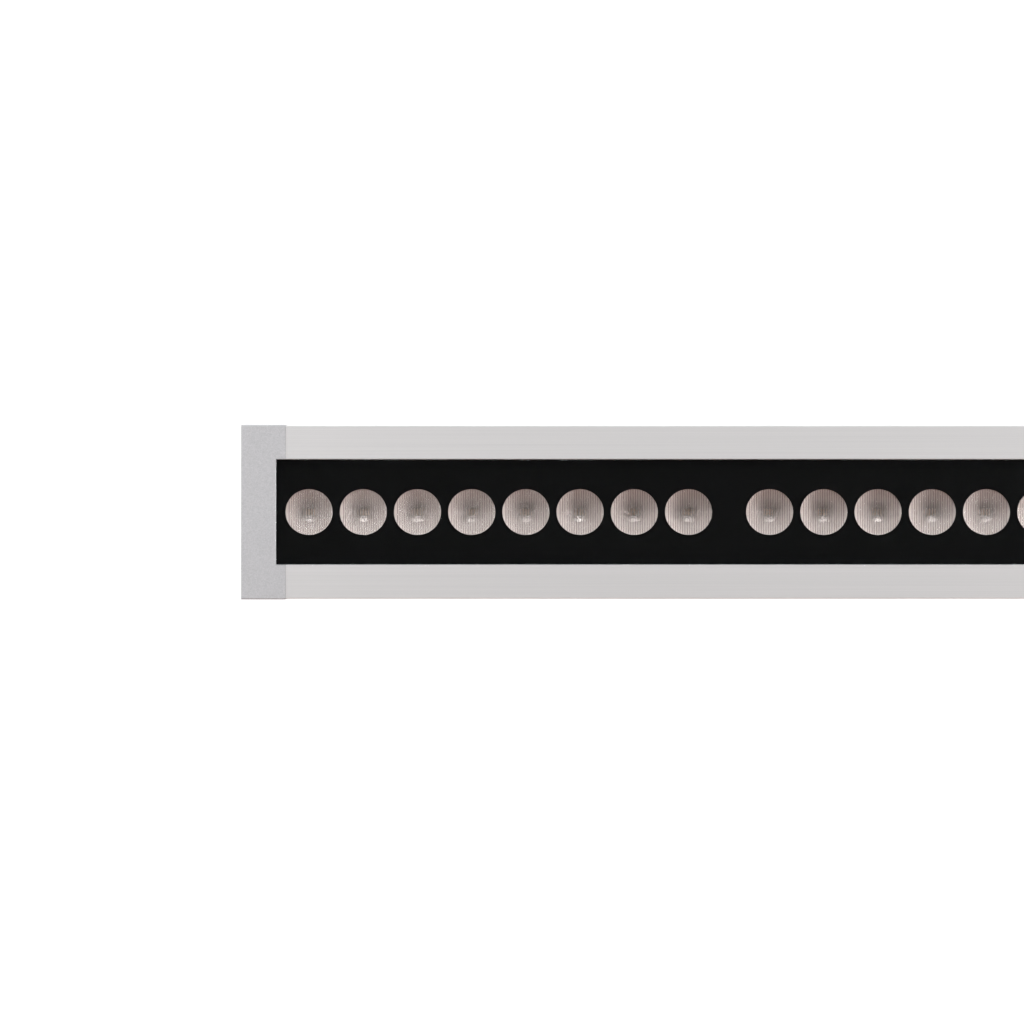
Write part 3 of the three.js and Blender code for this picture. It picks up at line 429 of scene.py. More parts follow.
def make_powder_coat():
    material, tree, shader = start_material("powder_coat", Specular_IOR_Level=0.5)
    grain = use_group(tree, speckle, Grain=0.0009, Blotch=0.02)
    wear = use_group(tree, edge_wear, Reach=0.0006, Amount=0.8)
    coat = two_tone(tree, shader, grain.outputs["Blotches"], (0.010, 0.010, 0.011), (0.026, 0.026, 0.027))
    worn = add(tree, "ShaderNodeMix", {"Factor": wear.outputs["Mask"]}, data_type="RGBA")
    tree.links.new(coat, worn.inputs["A"])
    worn.inputs["B"].default_value = (0.16, 0.16, 0.165, 1)
    tree.links.new(next(o for o in worn.outputs if o.type == "RGBA"), shader.inputs["Base Color"])
    vary_roughness(tree, shader, grain.outputs["Mask"], 0.55, 0.38)
    bump(tree, shader, grain.outputs["Height"], 0.00006, 0.5)
    return material


stainless, powder_coat = make_stainless(), make_powder_coat()
print("steel:", stainless.name, powder_coat.name)

# %% [markdown]
# ### Plastic, rubber and brass
# Moulded black parts have a fine spark-eroded texture. The supply inlet is the same plastic in blue, so
# that nobody mistakes it for the outlet. Gaskets and keys are silicone, which is softer and duller. The
# contacts in the sockets are brass.

# %% Plastic, rubber and brass


def make_moulded(name, dark, light, grain_size=0.0005, rough=(0.62, 0.45), depth=0.00002, shine=0.5):
    material, tree, shader = start_material(name, Specular_IOR_Level=shine)
    grain = use_group(tree, speckle, Grain=grain_size, Blotch=0.02)
    two_tone(tree, shader, grain.outputs["Blotches"], dark, light)
    vary_roughness(tree, shader, grain.outputs["Mask"], *rough)
    bump(tree, shader, grain.outputs["Height"], depth, 0.6)
    return material


def make_brass():
    material, tree, shader = start_material("brass", metallic=1.0)
    grain = use_group(tree, speckle, Grain=0.0003, Blotch=0.003)
    two_tone(tree, shader, grain.outputs["Blotches"], (0.60, 0.42, 0.18), (0.80, 0.60, 0.28))
    vary_roughness(tree, shader, grain.outputs["Mask"], 0.38, 0.22)
    return material


black_plastic = make_moulded("black_plastic", (0.010, 0.010, 0.010), (0.022, 0.022, 0.022))
blue_plastic = make_moulded("blue_plastic", (0.018, 0.055, 0.19), (0.032, 0.085, 0.26))
silicone = make_moulded("silicone", (0.012, 0.012, 0.012), (0.024, 0.024, 0.024), rough=(0.85, 0.7))
key_rubber = make_moulded("key_rubber", (0.040, 0.040, 0.042), (0.062, 0.062, 0.064), rough=(0.75, 0.6))
key_print = make_moulded("key_print", (0.55, 0.55, 0.54), (0.68, 0.68, 0.67))
nylon = make_moulded("nylon", (0.030, 0.030, 0.030), (0.048, 0.048, 0.046), rough=(0.6, 0.5))
mask_black = make_moulded("mask_black", (0.0010, 0.0010, 0.0010), (0.0016, 0.0016, 0.0016),
                          rough=(0.7, 0.6), depth=0.000004, shine=0.02)
sheath = make_moulded("cable_sheath", (0.03, 0.03, 0.034), (0.05, 0.05, 0.055), rough=(0.7, 0.55))
brass = make_brass()
print("plastics, rubbers and brass are ready")

# %% [markdown]
# ### Clear parts
# The cover is toughened glass and the lenses are clear acrylic. Cycles finds light through glass slowly, so
# each clear material lets shadow rays straight through. That way the softboxes still light what is inside.
# The valleys between the ribs of a lens take a darker and duller acrylic. Its dark brown tint is painted
# shade that makes the ribs show as lines.

# %% Clear finishes


def make_clear(name, dark, light, ior, roughness=0.0):
    material, tree, shader = start_material(name, Transmission_Weight=1.0, Roughness=roughness, IOR=ior)
    haze = use_group(tree, speckle, Grain=0.002, Blotch=0.05)
    two_tone(tree, shader, haze.outputs["Blotches"], dark, light)
    shadow = add(tree, "ShaderNodeLightPath").outputs["Is Shadow Ray"]
    through = add(tree, "ShaderNodeBsdfTransparent")
    either = add(tree, "ShaderNodeMixShader", {0: shadow, 1: shader.outputs[0], 2: through.outputs[0]})
    tree.links.new(either.outputs[0], tree.nodes["Material Output"].inputs["Surface"])
    return material


cover_clear = make_clear("cover_clear", (0.955, 0.965, 0.96), (0.975, 0.985, 0.98), 1.47)
lens_clear = make_clear("lens_clear", (0.97, 0.97, 0.965), (0.99, 0.99, 0.985), 1.49)
# The dark brown tint of the valley acrylic is painted shade, so the ribs show as dark lines.
lens_groove_painted_shade = make_clear("lens_groove_painted_shade", (0.36, 0.315, 0.30), (0.46, 0.42, 0.405), 1.49, roughness=0.1)
print("clear:", cover_clear.name, lens_clear.name, lens_groove_painted_shade.name)

# %% [markdown]
# ### Inside the lenses
# Each lens sits over a bowl of moulded plastic with a thin metal coating, which is partly mirror and partly
# a warm grey. A light source in the middle is a small ceramic block with four chips under phosphor, which
# is pale orange when it is off. The board round it is white.

# %% Reflector, board and chips


def make_reflector():
    material, tree, shader = start_material("reflector_coating", metallic=0.25)
    grain = use_group(tree, speckle, Grain=0.0006, Blotch=0.006)
    two_tone(tree, shader, grain.outputs["Blotches"], (0.41, 0.345, 0.325), (0.52, 0.46, 0.44))
    vary_roughness(tree, shader, grain.outputs["Mask"], 0.22, 0.14)
    return material


def make_board(name, dark, light, copper):
    """Solder mask over copper tracks, which show as a soft network of slightly different colour."""
    material, tree, shader = start_material(name)
    grain = use_group(tree, speckle, Grain=0.0008, Blotch=0.006)
    base = two_tone(tree, shader, grain.outputs["Blotches"], dark, light)
    place = add(tree, "ShaderNodeTexCoord").outputs["Object"]
    tracks = add(tree, "ShaderNodeTexBrick", {"Vector": place, "Scale": 90.0, "Mortar Size": 0.03})
    mix = add(tree, "ShaderNodeMix", {"Factor": tracks.outputs["Fac"]}, data_type="RGBA")
    tree.links.new(base, mix.inputs["A"])
    mix.inputs["B"].default_value = (*copper, 1)
    tree.links.new(next(o for o in mix.outputs if o.type == "RGBA"), shader.inputs["Base Color"])
    vary_roughness(tree, shader, grain.outputs["Mask"], 0.45, 0.3)
    return material


reflector = make_reflector()
board_white = make_board("board_white", (0.62, 0.62, 0.60), (0.72, 0.72, 0.70), (0.50, 0.50, 0.48))
board_green = make_board("board_green", (0.010, 0.075, 0.030), (0.016, 0.11, 0.045), (0.05, 0.22, 0.09))
chip_phosphor = make_moulded("chip_phosphor", (0.84, 0.60, 0.47), (0.93, 0.72, 0.60), grain_size=0.0002)
chip_ceramic = make_moulded("chip_ceramic", (0.86, 0.82, 0.79), (0.94, 0.91, 0.88), grain_size=0.0002)
print("inner finishes:", reflector.name, board_white.name, board_green.name, chip_phosphor.name)

# %% [markdown]
# ### Smoked window
# The display sits behind a dark polished window, so all that shows is gloss and the faint bars of its digits.

# %% Smoked window and segments


def make_smoked():
    material, tree, shader = start_material("smoked_window", Coat_Weight=0.6, Coat_Roughness=0.04)
    smears = use_group(tree, speckle, Grain=0.001, Blotch=0.012)
    two_tone(tree, shader, smears.outputs["Blotches"], (0.004, 0.004, 0.005), (0.012, 0.012, 0.014))
    vary_roughness(tree, shader, smears.outputs["Blotches"], 0.08, 0.2)
    return material


smoked = make_smoked()
segment_off = make_moulded("segment_off", (0.030, 0.031, 0.034), (0.040, 0.041, 0.045), rough=(0.3, 0.2))
print("display:", smoked.name, segment_off.name)

# %% [markdown]
# ## Making meshes
# Most pieces start as a copy of their node from the frame. The copy comes as loose triangles, so it is
# merged first, and its flat faces are joined. Then the polygons round each hole or arc are cut finer
# and pushed out to a true circle, and every sharp edge gets a small round, because no real edge is a knife.
# A flat face with many corners and holes can split into bad triangles, so it may be cut into convex ones.

# %% Starting from a node
SAME_POINT = 0.002 * MM
FLAT_ANGLE = 0.4
SAME_RADIUS = 0.01 * MM
RADIUS_STEP = 0.02 * MM
MANY_CORNERS = 8


def merged_copy(node):
    """The node's mesh with its doubles merged and each flat side as one face."""
    shape = bmesh.new()
    shape.from_mesh(frame["nodes"][node].data)
    bmesh.ops.remove_doubles(shape, verts=shape.verts[:], dist=SAME_POINT)
    bmesh.ops.dissolve_limit(
        shape, angle_limit=math.radians(FLAT_ANGLE), verts=shape.verts[:], edges=shape.edges[:])
    return shape


def make_rounder(shape, centre, axis, reach, cuts=3):
    """Cuts the chords of circles about an axis into shorter ones that lie on the same circle."""

    def spoke(vert):
        arm = vert.co - centre
        return arm - arm.dot(axis) * axis

    rings = {}
    for edge in shape.edges:
        start, end = (spoke(v) for v in edge.verts)
        across = abs((edge.verts[1].co - edge.verts[0].co).normalized().dot(axis)) < 0.01
        same_circle = abs(start.length - end.length) < SAME_RADIUS
        if across and same_circle and start.length < reach and (start - end).length < 0.8 * start.length:
            rings.setdefault(round(start.length / RADIUS_STEP), []).append(edge)
    for chords in rings.values():
        radius = spoke(chords[0].verts[0]).length
        made = bmesh.ops.subdivide_edges(shape, edges=chords, cuts=cuts)
        for vert in made["geom_inner"]:
            if isinstance(vert, bmesh.types.BMVert):
                arm = spoke(vert)
                vert.co += arm.normalized() * (radius - arm.length)


def round_edges(shape, radius, over=35, segments=2, edges=None):
    """Rounds the edges whose faces meet at more than an angle in degrees."""
    found = [
        e for e in (edges or shape.edges) if e.is_manifold and e.calc_face_angle() > math.radians(over)]
    bmesh.ops.bevel(
        shape, geom=found, offset=radius, offset_type="OFFSET", affect="EDGES", segments=segments,
        profile=0.5, material=-1, clamp_overlap=True)


def refined(node, edge, circles=(), over=35, segments=2, convex=False):
    """A finer copy of a node. Each circle is (centre, axis, reach) and edge is the radius of its corners."""
    shape = merged_copy(node)
    if convex:
        large = [f for f in shape.faces if len(f.verts) > MANY_CORNERS]
        bmesh.ops.connect_verts_concave(shape, faces=large)
    for centre, axis, reach in circles:
        make_rounder(shape, centre, axis, reach)
    round_edges(shape, edge, over, segments)
    return shape


print("helpers for copies of nodes are ready")

# %% [markdown]
# Round pieces are turned, as on a lathe: a short profile is spun about an axis. Flat pieces are filled
# between outlines and given a thickness. Both are made about the origin and then moved to their place.

# %% Starting from a profile or an outline


def aimed(centre, out):
    """The placing matrix that takes a shape made about Z at the origin to a centre, with its +Z along out."""
    return Matrix.Translation(centre) @ out.to_track_quat("Z", "Y").to_matrix().to_4x4()


def turned(shape, profile, place, steps=64):
    """Spins (radius, height) points about Z, and moves the result to its place."""
    before = set(shape.verts)
    points = [shape.verts.new((radius, 0, height)) for radius, height in profile]
    edges = [shape.edges.new(pair) for pair in zip(points, points[1:])]
    bmesh.ops.spin(
        shape, geom=points + edges, cent=(0, 0, 0), axis=(0, 0, 1), angle=2 * math.pi, steps=steps,
        use_merge=True)
    fresh = [v for v in shape.verts if v not in before]
    bmesh.ops.remove_doubles(shape, verts=fresh, dist=0.0005 * MM)
    fresh = [v for v in shape.verts if v not in before]
    faces = list({f for v in fresh for f in v.link_faces})
    bmesh.ops.recalc_face_normals(shape, faces=faces)
    bmesh.ops.transform(shape, matrix=place, verts=fresh)
    return fresh


def raised(shape, thickness, place):
    """Fills between the open outlines that lie in XY, thickens the fill upwards and moves it to its place."""
    outlines = [e for e in shape.edges if e.is_wire]
    fresh = set(v for e in outlines for v in e.verts)
    bmesh.ops.triangle_fill(shape, use_beauty=True, edges=outlines, normal=(0, 0, 1))
    flat = list({f for v in fresh for f in v.link_faces})
    made = bmesh.ops.extrude_face_region(shape, geom=flat)["geom"]
    top = [v for v in made if isinstance(v, bmesh.types.BMVert)]
    bmesh.ops.translate(shape, verts=top, vec=(0, 0, thickness))
    fresh.update(top)
    bmesh.ops.recalc_face_normals(shape, faces=list({f for v in fresh for f in v.link_faces}))
    bmesh.ops.transform(shape, matrix=place, verts=list(fresh))
    return list(fresh)


def ring(shape, radius, segments=64, at=(0, 0, 0), start=0.0):
    """A closed outline of edges in XY. Its first point is on +Y, turned by the start angle."""
    turn = Matrix.Translation(at) @ Matrix.Rotation(start, 4, "Z")
    return bmesh.ops.create_circle(shape, segments=segments, radius=radius, matrix=turn)["verts"]


def rectangle(shape, low, high):
    """A closed outline of four edges in XY."""
    corners = [shape.verts.new((x, y, 0)) for x, y in (
        (low.x, low.y), (high.x, low.y), (high.x, high.y), (low.x, high.y))]
    for start, end in zip(corners, corners[1:] + corners[:1]):
        shape.edges.new((start, end))


def boxed(shape, low, high, edge):
    """A box between two corners, with its edges rounded."""
    low, high = Vector(low), Vector(high)
    size = Matrix.Diagonal((*(high - low), 1))
    made = bmesh.ops.create_cube(shape, size=1, matrix=Matrix.Translation((low + high) / 2) @ size)["verts"]
    round_edges(shape, edge, edges=list({e for v in made for e in v.link_edges}))


print("helpers for turned and flat shapes are ready")

# %% [markdown]
# ### Screws with a hexagon socket
# A socket could be cut with a boolean, but bridging is cleaner. The head is turned with an open round rim,
# the rim is bridged to a hexagon just below it, and the hexagon is pulled down and closed.

# %% Socket screws
RIM_LAND = 0.25 * MM
KEY_BEVEL = 0.2 * MM


def socket_screw(shape, place, head, height, key, key_depth, shank=0.0, length=0.0, chamfer=0.4 * MM):
    """A hexagon socket screw whose head's outer face is at the origin of its place."""
    below = [(0, -height)]
    if length:
        below = [(0, -height - length), (shank, -height - length), (shank, -height)]
    outline = [(head, -height), (head, -chamfer), (head - chamfer, 0), (key + RIM_LAND, 0)]
    fresh = turned(shape, below + outline, Matrix(), steps=48)
    rim_edges = [e for e in {e for v in fresh for e in v.link_edges} if e.is_boundary]
    hexagon = ring(shape, key, segments=6, at=(0, 0, -KEY_BEVEL))
    hex_edges = list({e for v in hexagon for e in v.link_edges})
    bmesh.ops.bridge_loops(shape, edges=rim_edges + hex_edges)
    wall = bmesh.ops.extrude_edge_only(shape, edges=hex_edges)["geom"]
    deep = [v for v in wall if isinstance(v, bmesh.types.BMVert)]
    bmesh.ops.translate(shape, verts=deep, vec=(0, 0, -key_depth))
    bmesh.ops.contextual_create(shape, geom=[e for e in wall if isinstance(e, bmesh.types.BMEdge)])
    fresh += hexagon + deep
    bmesh.ops.recalc_face_normals(shape, faces=list({f for v in fresh for f in v.link_faces}))
    bmesh.ops.transform(shape, matrix=place, verts=fresh)


print("helper for socket screws is ready")

# %% [markdown]
# A finished shape becomes an object. Faces that meet gently are shaded smooth, and weighted normals keep
# the large flat faces flat. Each piece then rides on its node's body and stands in for the node. A small
# extra piece, such as a screw in a flange, only rides with a node.

# %% From shape to piece


def as_piece(name, shape, *materials, sharp=32):
    mesh = bpy.data.meshes.new(name)
    shape.to_mesh(mesh)
    shape.free()
    for material in materials:
        mesh.materials.append(material)
    mesh.shade_smooth()
    mesh.set_sharp_from_angle(angle=math.radians(sharp))
    piece = bpy.data.objects.new(name, mesh)
    scene.collection.objects.link(piece)
    even = piece.modifiers.new("even_normals", "WEIGHTED_NORMAL")
    even.keep_sharp = True
    return piece


def stand_for(piece, *nodes):
    """The piece rides on the nodes' body and is shown instead of them."""
    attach(piece, body_of[nodes[0]])
    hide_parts(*nodes)
    return piece


def ride_with(piece, node):
    """A small extra piece that moves with a node."""
    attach(piece, body_of[node])
    return piece


def paint(material, *nodes):
    """A node whose shape is right keeps its own mesh and gets a better finish."""
    for node in nodes:
        finishes = frame["nodes"][node].data.materials
        finishes.clear()
        finishes.append(material)


print("helpers for pieces are ready")

# %% [markdown]
# ## The extruded housing
# One length of aluminium pushed through a die, with cooling ribs down both sides, a dovetail rail on the
# back and a pocket milled for the control panel. The shape is already right in the frame, so a copy only
# needs its edges broken by a quarter of a millimetre, which is what catches the light on the real bar.

# %% Housing
EXTRUSION_EDGE = 0.25 * MM
housing_fine = as_piece("housing_fine", refined("housing", EXTRUSION_EDGE), anodised)
stand_for(housing_fine, "housing")
print("housing:", len(housing_fine.data.polygons), "faces")

# %% [markdown]
# ## End caps and their screws
# Each cap is a block milled from solid and bead-blasted. It carries four sunk screws and two sockets, so
# the rounder goes over every one of those holes before the edges are broken. The edges at the joint with
# the bar stay sharp, and that face is moved up to the bar, because the two are screwed together tight.

# %% End caps
CAP_EDGE = 0.3 * MM
SCREW_REACH = 4.5 * MM
SOCKET_REACH = 11 * MM
SOCKETS = ("power_inlet", "power_outlet", "data_input", "data_output")
JOINT_EDGES = 1 * MM
JOINT_FACE = 0.4 * MM
JOINT_GAP = 0.03 * MM
SUNK_HEAD = 4 * MM
SUNK_SCREW = {
    "head": 3.5 * MM, "height": SUNK_HEAD, "key": 1.7 * MM, "key_depth": 2 * MM, "shank": 2 * MM}
for side in SIDES:
    node = f"end_cap_{side}"
    out = outward(node)
    screws = [f"cap_screw_{side}_{i}" for i in range(1, 5)]
    sockets = [n for n in SOCKETS if outward(n) == out]
    circles = [(middle(n), X, SCREW_REACH) for n in screws] + [(middle(n), X, SOCKET_REACH) for n in sockets]
    shape = merged_copy(node)
    for circle in circles:
        make_rounder(shape, *circle)
    joint_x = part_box("housing")[1 if out.x > 0 else 0].x
    free = [e for e in shape.edges if all(abs(v.co.x - joint_x) > JOINT_EDGES for v in e.verts)]
    round_edges(shape, CAP_EDGE, edges=free)
    for vert in shape.verts:
        if abs(vert.co.x - joint_x) < JOINT_FACE:
            vert.co.x = joint_x + out.x * JOINT_GAP
    cap = as_piece(f"{node}_fine", shape, blasted)
    stand_for(cap, node)
    for screw in screws:
        low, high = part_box(screw)
        face = Vector((high.x if out.x > 0 else low.x, *middle(screw).yz))
        shape = bmesh.new()
        socket_screw(shape, aimed(face, out), length=high.x - low.x - SUNK_HEAD, **SUNK_SCREW)
        stand_for(as_piece(f"{screw}_fine", shape, stainless), screw)
    print(node, len(cap.data.polygons), "faces, four screws,", sockets)

# %% [markdown]
# ## Sockets in the ends
# Power comes in through a blue socket at the right end and goes on from a black one at the left, and
# control data does the same on the other side. The flange and barrel are copies of the nodes. Inside, a
# power socket has a keyed post with three blades, and a data socket has five round pins or five holes.

# %% Inserts and contacts
SOCKET_DEPTH = 14.5 * MM
POST_RADIUS = 5.2 * MM
POST_DEPTH = 2.5 * MM
POST_CHAMFER = 0.5 * MM
INSERT_RADIUS = 6.5 * MM
INSERT_CHAMFER = 0.3 * MM
PIN_CIRCLE = 3.9 * MM


def boxed_at(shape, place, low, high, edge):
    """A rounded box that is made about the origin and moved to its place."""
    before = set(shape.verts)
    boxed(shape, low, high, edge)
    bmesh.ops.transform(shape, matrix=place, verts=[v for v in shape.verts if v not in before])


def power_insert(shape, place):
    """The post in the middle, with a key on one side."""
    turned(shape, [(0, -SOCKET_DEPTH), (POST_RADIUS, -SOCKET_DEPTH),
                   (POST_RADIUS, -POST_DEPTH - POST_CHAMFER), (POST_RADIUS - POST_CHAMFER, -POST_DEPTH),
                   (0, -POST_DEPTH)], place)
    low, high = (-1.2 * MM, 4.6 * MM, -SOCKET_DEPTH), (1.2 * MM, 6.4 * MM, -POST_DEPTH - 1 * MM)
    boxed_at(shape, place, low, high, 0.2 * MM)


def blades(shape, place):
    """Three flat contacts round the post."""
    low, high = (-1.6 * MM, 5.3 * MM, -SOCKET_DEPTH), (1.6 * MM, 6.0 * MM, -POST_DEPTH - 2 * MM)
    for turn in range(3):
        around = Matrix.Rotation(math.radians(60 + 120 * turn), 4, "Z")
        boxed_at(shape, place @ around, low, high, 0.15 * MM)


def data_insert(shape, place, face):
    """The round block that carries the pins, with its face at a height."""
    turned(shape, [(0, -SOCKET_DEPTH), (INSERT_RADIUS, -SOCKET_DEPTH), (INSERT_RADIUS, face - INSERT_CHAMFER),
                   (INSERT_RADIUS - INSERT_CHAMFER, face), (0, face)], place)


def pins(shape, place, top, radius):
    """Five pins, or five contact rims, on an open circle."""
    for i in range(5):
        angle = math.radians(-120 + 60 * i)
        at = Matrix.Translation((PIN_CIRCLE * math.sin(angle), PIN_CIRCLE * math.cos(angle), 0))
        turned(shape, [(0, -SOCKET_DEPTH), (radius, -SOCKET_DEPTH), (radius, top - radius / 2),
                       (radius / 2, top), (0, top)], place @ at, steps=20)


print("helpers for the insides of sockets are ready")

# %% [markdown]
# ### The four sockets
# The pins of the data input stand free in a deep well, and the holes of the data output open in a block
# near its face. Each flange is held by two small screws on a diagonal.

# %% Sockets
PLASTIC_EDGE = 0.4 * MM
FLANGE_SCREW_AT = 9.1 * MM
FLANGE_SCREW_RISE = 0.15 * MM
FLANGE_SCREW = {"head": 1.9 * MM, "height": 1 * MM, "key": 0.9 * MM, "key_depth": 0.6 * MM,
                "chamfer": 0.3 * MM}
DATA_FACE = {"data_input": -12 * MM, "data_output": -3 * MM}
PIN_TOP = {"data_input": -3.5 * MM, "data_output": -2.9 * MM}
PIN_RADIUS = {"data_input": 0.65 * MM, "data_output": 0.75 * MM}
for node in SOCKETS:
    out = outward(node)
    low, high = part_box(node)
    face = Vector((high.x if out.x > 0 else low.x, *middle(node).yz))
    place = aimed(face, out)
    plastic = blue_plastic if node == "power_inlet" else black_plastic
    body = refined(node, PLASTIC_EDGE, [(middle(node), X, SOCKET_REACH)])
    contacts = bmesh.new()
    if node.startswith("power"):
        power_insert(body, place)
        blades(contacts, place)
    else:
        data_insert(body, place, DATA_FACE[node])
        pins(contacts, place, PIN_TOP[node], PIN_RADIUS[node])
    stand_for(as_piece(f"{node}_fine", body, plastic), node)
    ride_with(as_piece(f"{node}_contacts", contacts, brass), node)
    for i, (y, z) in enumerate(((1, 1), (-1, -1))):
        shape = bmesh.new()
        spot = face + Vector((0, y, z)) * FLANGE_SCREW_AT + out * FLANGE_SCREW_RISE
        socket_screw(shape, aimed(spot, out), **FLANGE_SCREW)
        ride_with(as_piece(f"{node}_screw_{i + 1}", shape, stainless), node)
    print(node, "with its contacts and two flange screws")

# %% [markdown]
# ## Cover glass
# The glass lies flush with the front of the bar, and its edges are ground so that they don't chip.

# %% Cover glass
GROUND_EDGE = 0.3 * MM
glass = as_piece("cover_glass_fine", refined("cover_glass", GROUND_EDGE), cover_clear)
stand_for(glass, "cover_glass")
print("cover glass:", len(glass.data.polygons), "faces")

# %% [markdown]
# ## Lens mask
# Right under the glass is a thin black sheet with a hole for every lens, so that only the lenses show. The
# holes are a little wider along the bar than across it. A boolean could cut them one by one. Filling
# between the outline and forty such rounds makes the whole sheet at once.

# %% Lens mask
LENSES = 8
GROUPS = 5
LENS_PITCH = 23 * MM
APERTURE = 20 * MM
SQUASH = 0.97
mask_low, mask_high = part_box("lens_mask")
lens_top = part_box("lens_array_1")[1].z


def lens_places(group):
    """The middles of one group's lenses, at the height of the lens tops."""
    centre = middle(f"lens_array_{group}")
    return [Vector((centre.x + (i - (LENSES - 1) / 2) * LENS_PITCH, centre.y, lens_top))
            for i in range(LENSES)]


shape = bmesh.new()
rectangle(shape, mask_low, mask_high)
for group in range(1, GROUPS + 1):
    for spot in lens_places(group):
        for vert in ring(shape, APERTURE / 2, segments=72, at=(spot.x, spot.y, 0)):
            vert.co.y = spot.y + (vert.co.y - spot.y) * SQUASH
raised(shape, mask_high.z - mask_low.z, Matrix.Translation((0, 0, mask_low.z)))
mask = as_piece("lens_mask_fine", shape, mask_black)
stand_for(mask, "lens_mask")
print("mask:", len(mask.data.polygons), "faces,", LENSES * GROUPS, "holes")

# %% [markdown]
# ## Lenses
# A lens that throws light into a wide flat fan is covered in fine ribs that run across the bar. Each one
# is a slab of clear acrylic with rounded ribs a millimetre apart and a smooth rim. A grid has one strip of
# faces for each part of a rib. Its ends are moved onto the circle, which makes a disc. The strips in the
# valleys between the ribs take the darker acrylic, which is painted shade, so the ribs still show as dark
# lines from far away.

# %% Ribbed lenses
RIB_PITCH = 1 * MM
RIB_HEIGHT = 0.14 * MM
RIBBED_RADIUS = 10 * MM
RIM_START = 10.15 * MM
RIM_RADIUS = 10.3 * MM
RIM_RISE = 0.3 * MM
SLAB = 1.6 * MM
FACES_PER_RIB = 6
SHADED_GROOVE = 0.5


def ribbed_lens(shape, top):
    """Closed slab: ribbed on top, flat underneath. Its rim stands a little over the ribs."""
    columns = round(2 * RIBBED_RADIUS / RIB_PITCH) * FACES_PER_RIB
    made = bmesh.ops.create_grid(shape, x_segments=columns, y_segments=1, size=1)["verts"]
    for vert in made:
        x = vert.co.x * RIBBED_RADIUS
        y = vert.co.y * math.sqrt(max(RIBBED_RADIUS ** 2 - x ** 2, 0))
        vert.co = (x, y, RIB_HEIGHT * abs(math.cos(math.pi * x / RIB_PITCH)))
    bmesh.ops.remove_doubles(shape, verts=made, dist=SAME_POINT)
    made = [v for v in made if v.is_valid]
    rim = [e for e in {e for v in made for e in v.link_edges} if e.is_boundary]
    for radius, height in ((RIM_START, RIM_RISE), (RIM_RADIUS, RIM_RISE), (RIM_RADIUS, -SLAB)):
        step = bmesh.ops.extrude_edge_only(shape, edges=rim)["geom"]
        rim = [g for g in step if isinstance(g, bmesh.types.BMEdge)]
        fresh = [g for g in step if isinstance(g, bmesh.types.BMVert)]
        for vert in fresh:
            flat = Vector((vert.co.x, vert.co.y, 0)).normalized() * radius
            vert.co = (flat.x, flat.y, height)
        made += fresh
    base = bmesh.ops.contextual_create(shape, geom=rim)["faces"]
    made += [v for f in base for v in f.verts]
    faces = list({f for v in made for f in v.link_faces})
    bmesh.ops.recalc_face_normals(shape, faces=faces)
    for face in faces:
        place = face.calc_center_median()
        # Faces in the valleys between ribs take the second material, whose dark tint is painted shade.
        in_shaded_groove = abs(math.cos(math.pi * place.x / RIB_PITCH)) < SHADED_GROOVE
        if place.z > 0 and abs(place.x) < RIBBED_RADIUS - RIB_PITCH and in_shaded_groove:
            face.material_index = 1
    bmesh.ops.translate(shape, verts=list(set(made)), vec=top)


for group in range(1, GROUPS + 1):
    shape = bmesh.new()
    for spot in lens_places(group):
        ribbed_lens(shape, spot)
    lenses = as_piece(f"lens_discs_{group}", shape, lens_clear, lens_groove_painted_shade, sharp=35)
    stand_for(lenses, f"lens_array_{group}")
print("lens discs of a group:", len(lenses.data.polygons), "faces")

# %% [markdown]
# ## Reflector bowls
# Under the lenses a moulded strip holds eight coated bowls. A bowl is a parabola that is turned round the
# lens's own axis. Shallow ripples run round it and fade towards the mouth. Near the foot they throw the
# softboxes back as a small bright arc and bright spots round the middle of each lens.

# %% Reflector strips
BOWL_MOUTH = 9.7 * MM
BOWL_FOOT = 1.7 * MM
BOWL_CURVE = 0.0768 / MM
BOWL_WALL = 0.6 * MM
BOWL_STEPS = 40
RIPPLE = 0.1 * MM
RIPPLE_PITCH = 2.6 * MM
RIPPLE_START = 1.85 * MM
STRIP_THICKNESS = 1.2 * MM
bowl_top = -SLAB - 0.1 * MM


def bowl_height(radius):
    """Height of the inside of the bowl below the lens top: a parabola with ripples that fade outwards."""
    wave = -math.cos(2 * math.pi * (radius - RIPPLE_START) / RIPPLE_PITCH)
    ripple = RIPPLE * wave * (1 - (radius / BOWL_MOUTH) ** 2)
    return bowl_top - BOWL_CURVE * (BOWL_MOUTH ** 2 - radius ** 2) + ripple


def bowl_profile():
    """Up the inside from the foot to the mouth, over the edge and down the outside."""
    radii = [BOWL_FOOT + (BOWL_MOUTH - BOWL_FOOT) * i / BOWL_STEPS for i in range(BOWL_STEPS + 1)]
    inside = [(radius, bowl_height(radius)) for radius in radii]
    outside = [(radius, height - BOWL_WALL) for radius, height in reversed(inside)]
    brim = [(BOWL_MOUTH + BOWL_WALL, bowl_top), (BOWL_MOUTH + BOWL_WALL, bowl_top - BOWL_WALL)]
    path = inside + brim + outside
    return path + path[:1]


for group in range(1, GROUPS + 1):
    node = f"lens_array_{group}"
    low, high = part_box(node)
    shape, strip = bmesh.new(), bmesh.new()
    rectangle(strip, low, high)
    for spot in lens_places(group):
        turned(shape, bowl_profile(), Matrix.Translation(spot))
        ring(strip, BOWL_MOUTH + BOWL_WALL, at=(spot.x, spot.y, 0))
    strip_base = high.z + bowl_top - STRIP_THICKNESS
    raised(strip, STRIP_THICKNESS, Matrix.Translation((0, 0, strip_base)))
    reflectors = ride_with(as_piece(f"reflector_bowls_{group}", shape, reflector, sharp=60), node)
    holder = ride_with(as_piece(f"lens_carrier_{group}", strip, black_plastic), node)
    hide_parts(node)
    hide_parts(node)
print("bowls of a group:", len(reflectors.data.polygons), "faces")

# %% [markdown]
# ## Boards and light sources
# Each group has one board with eight light sources. A source is a ceramic block with four chips on top,
# which fill the foot of the bowl, under a clear dome.

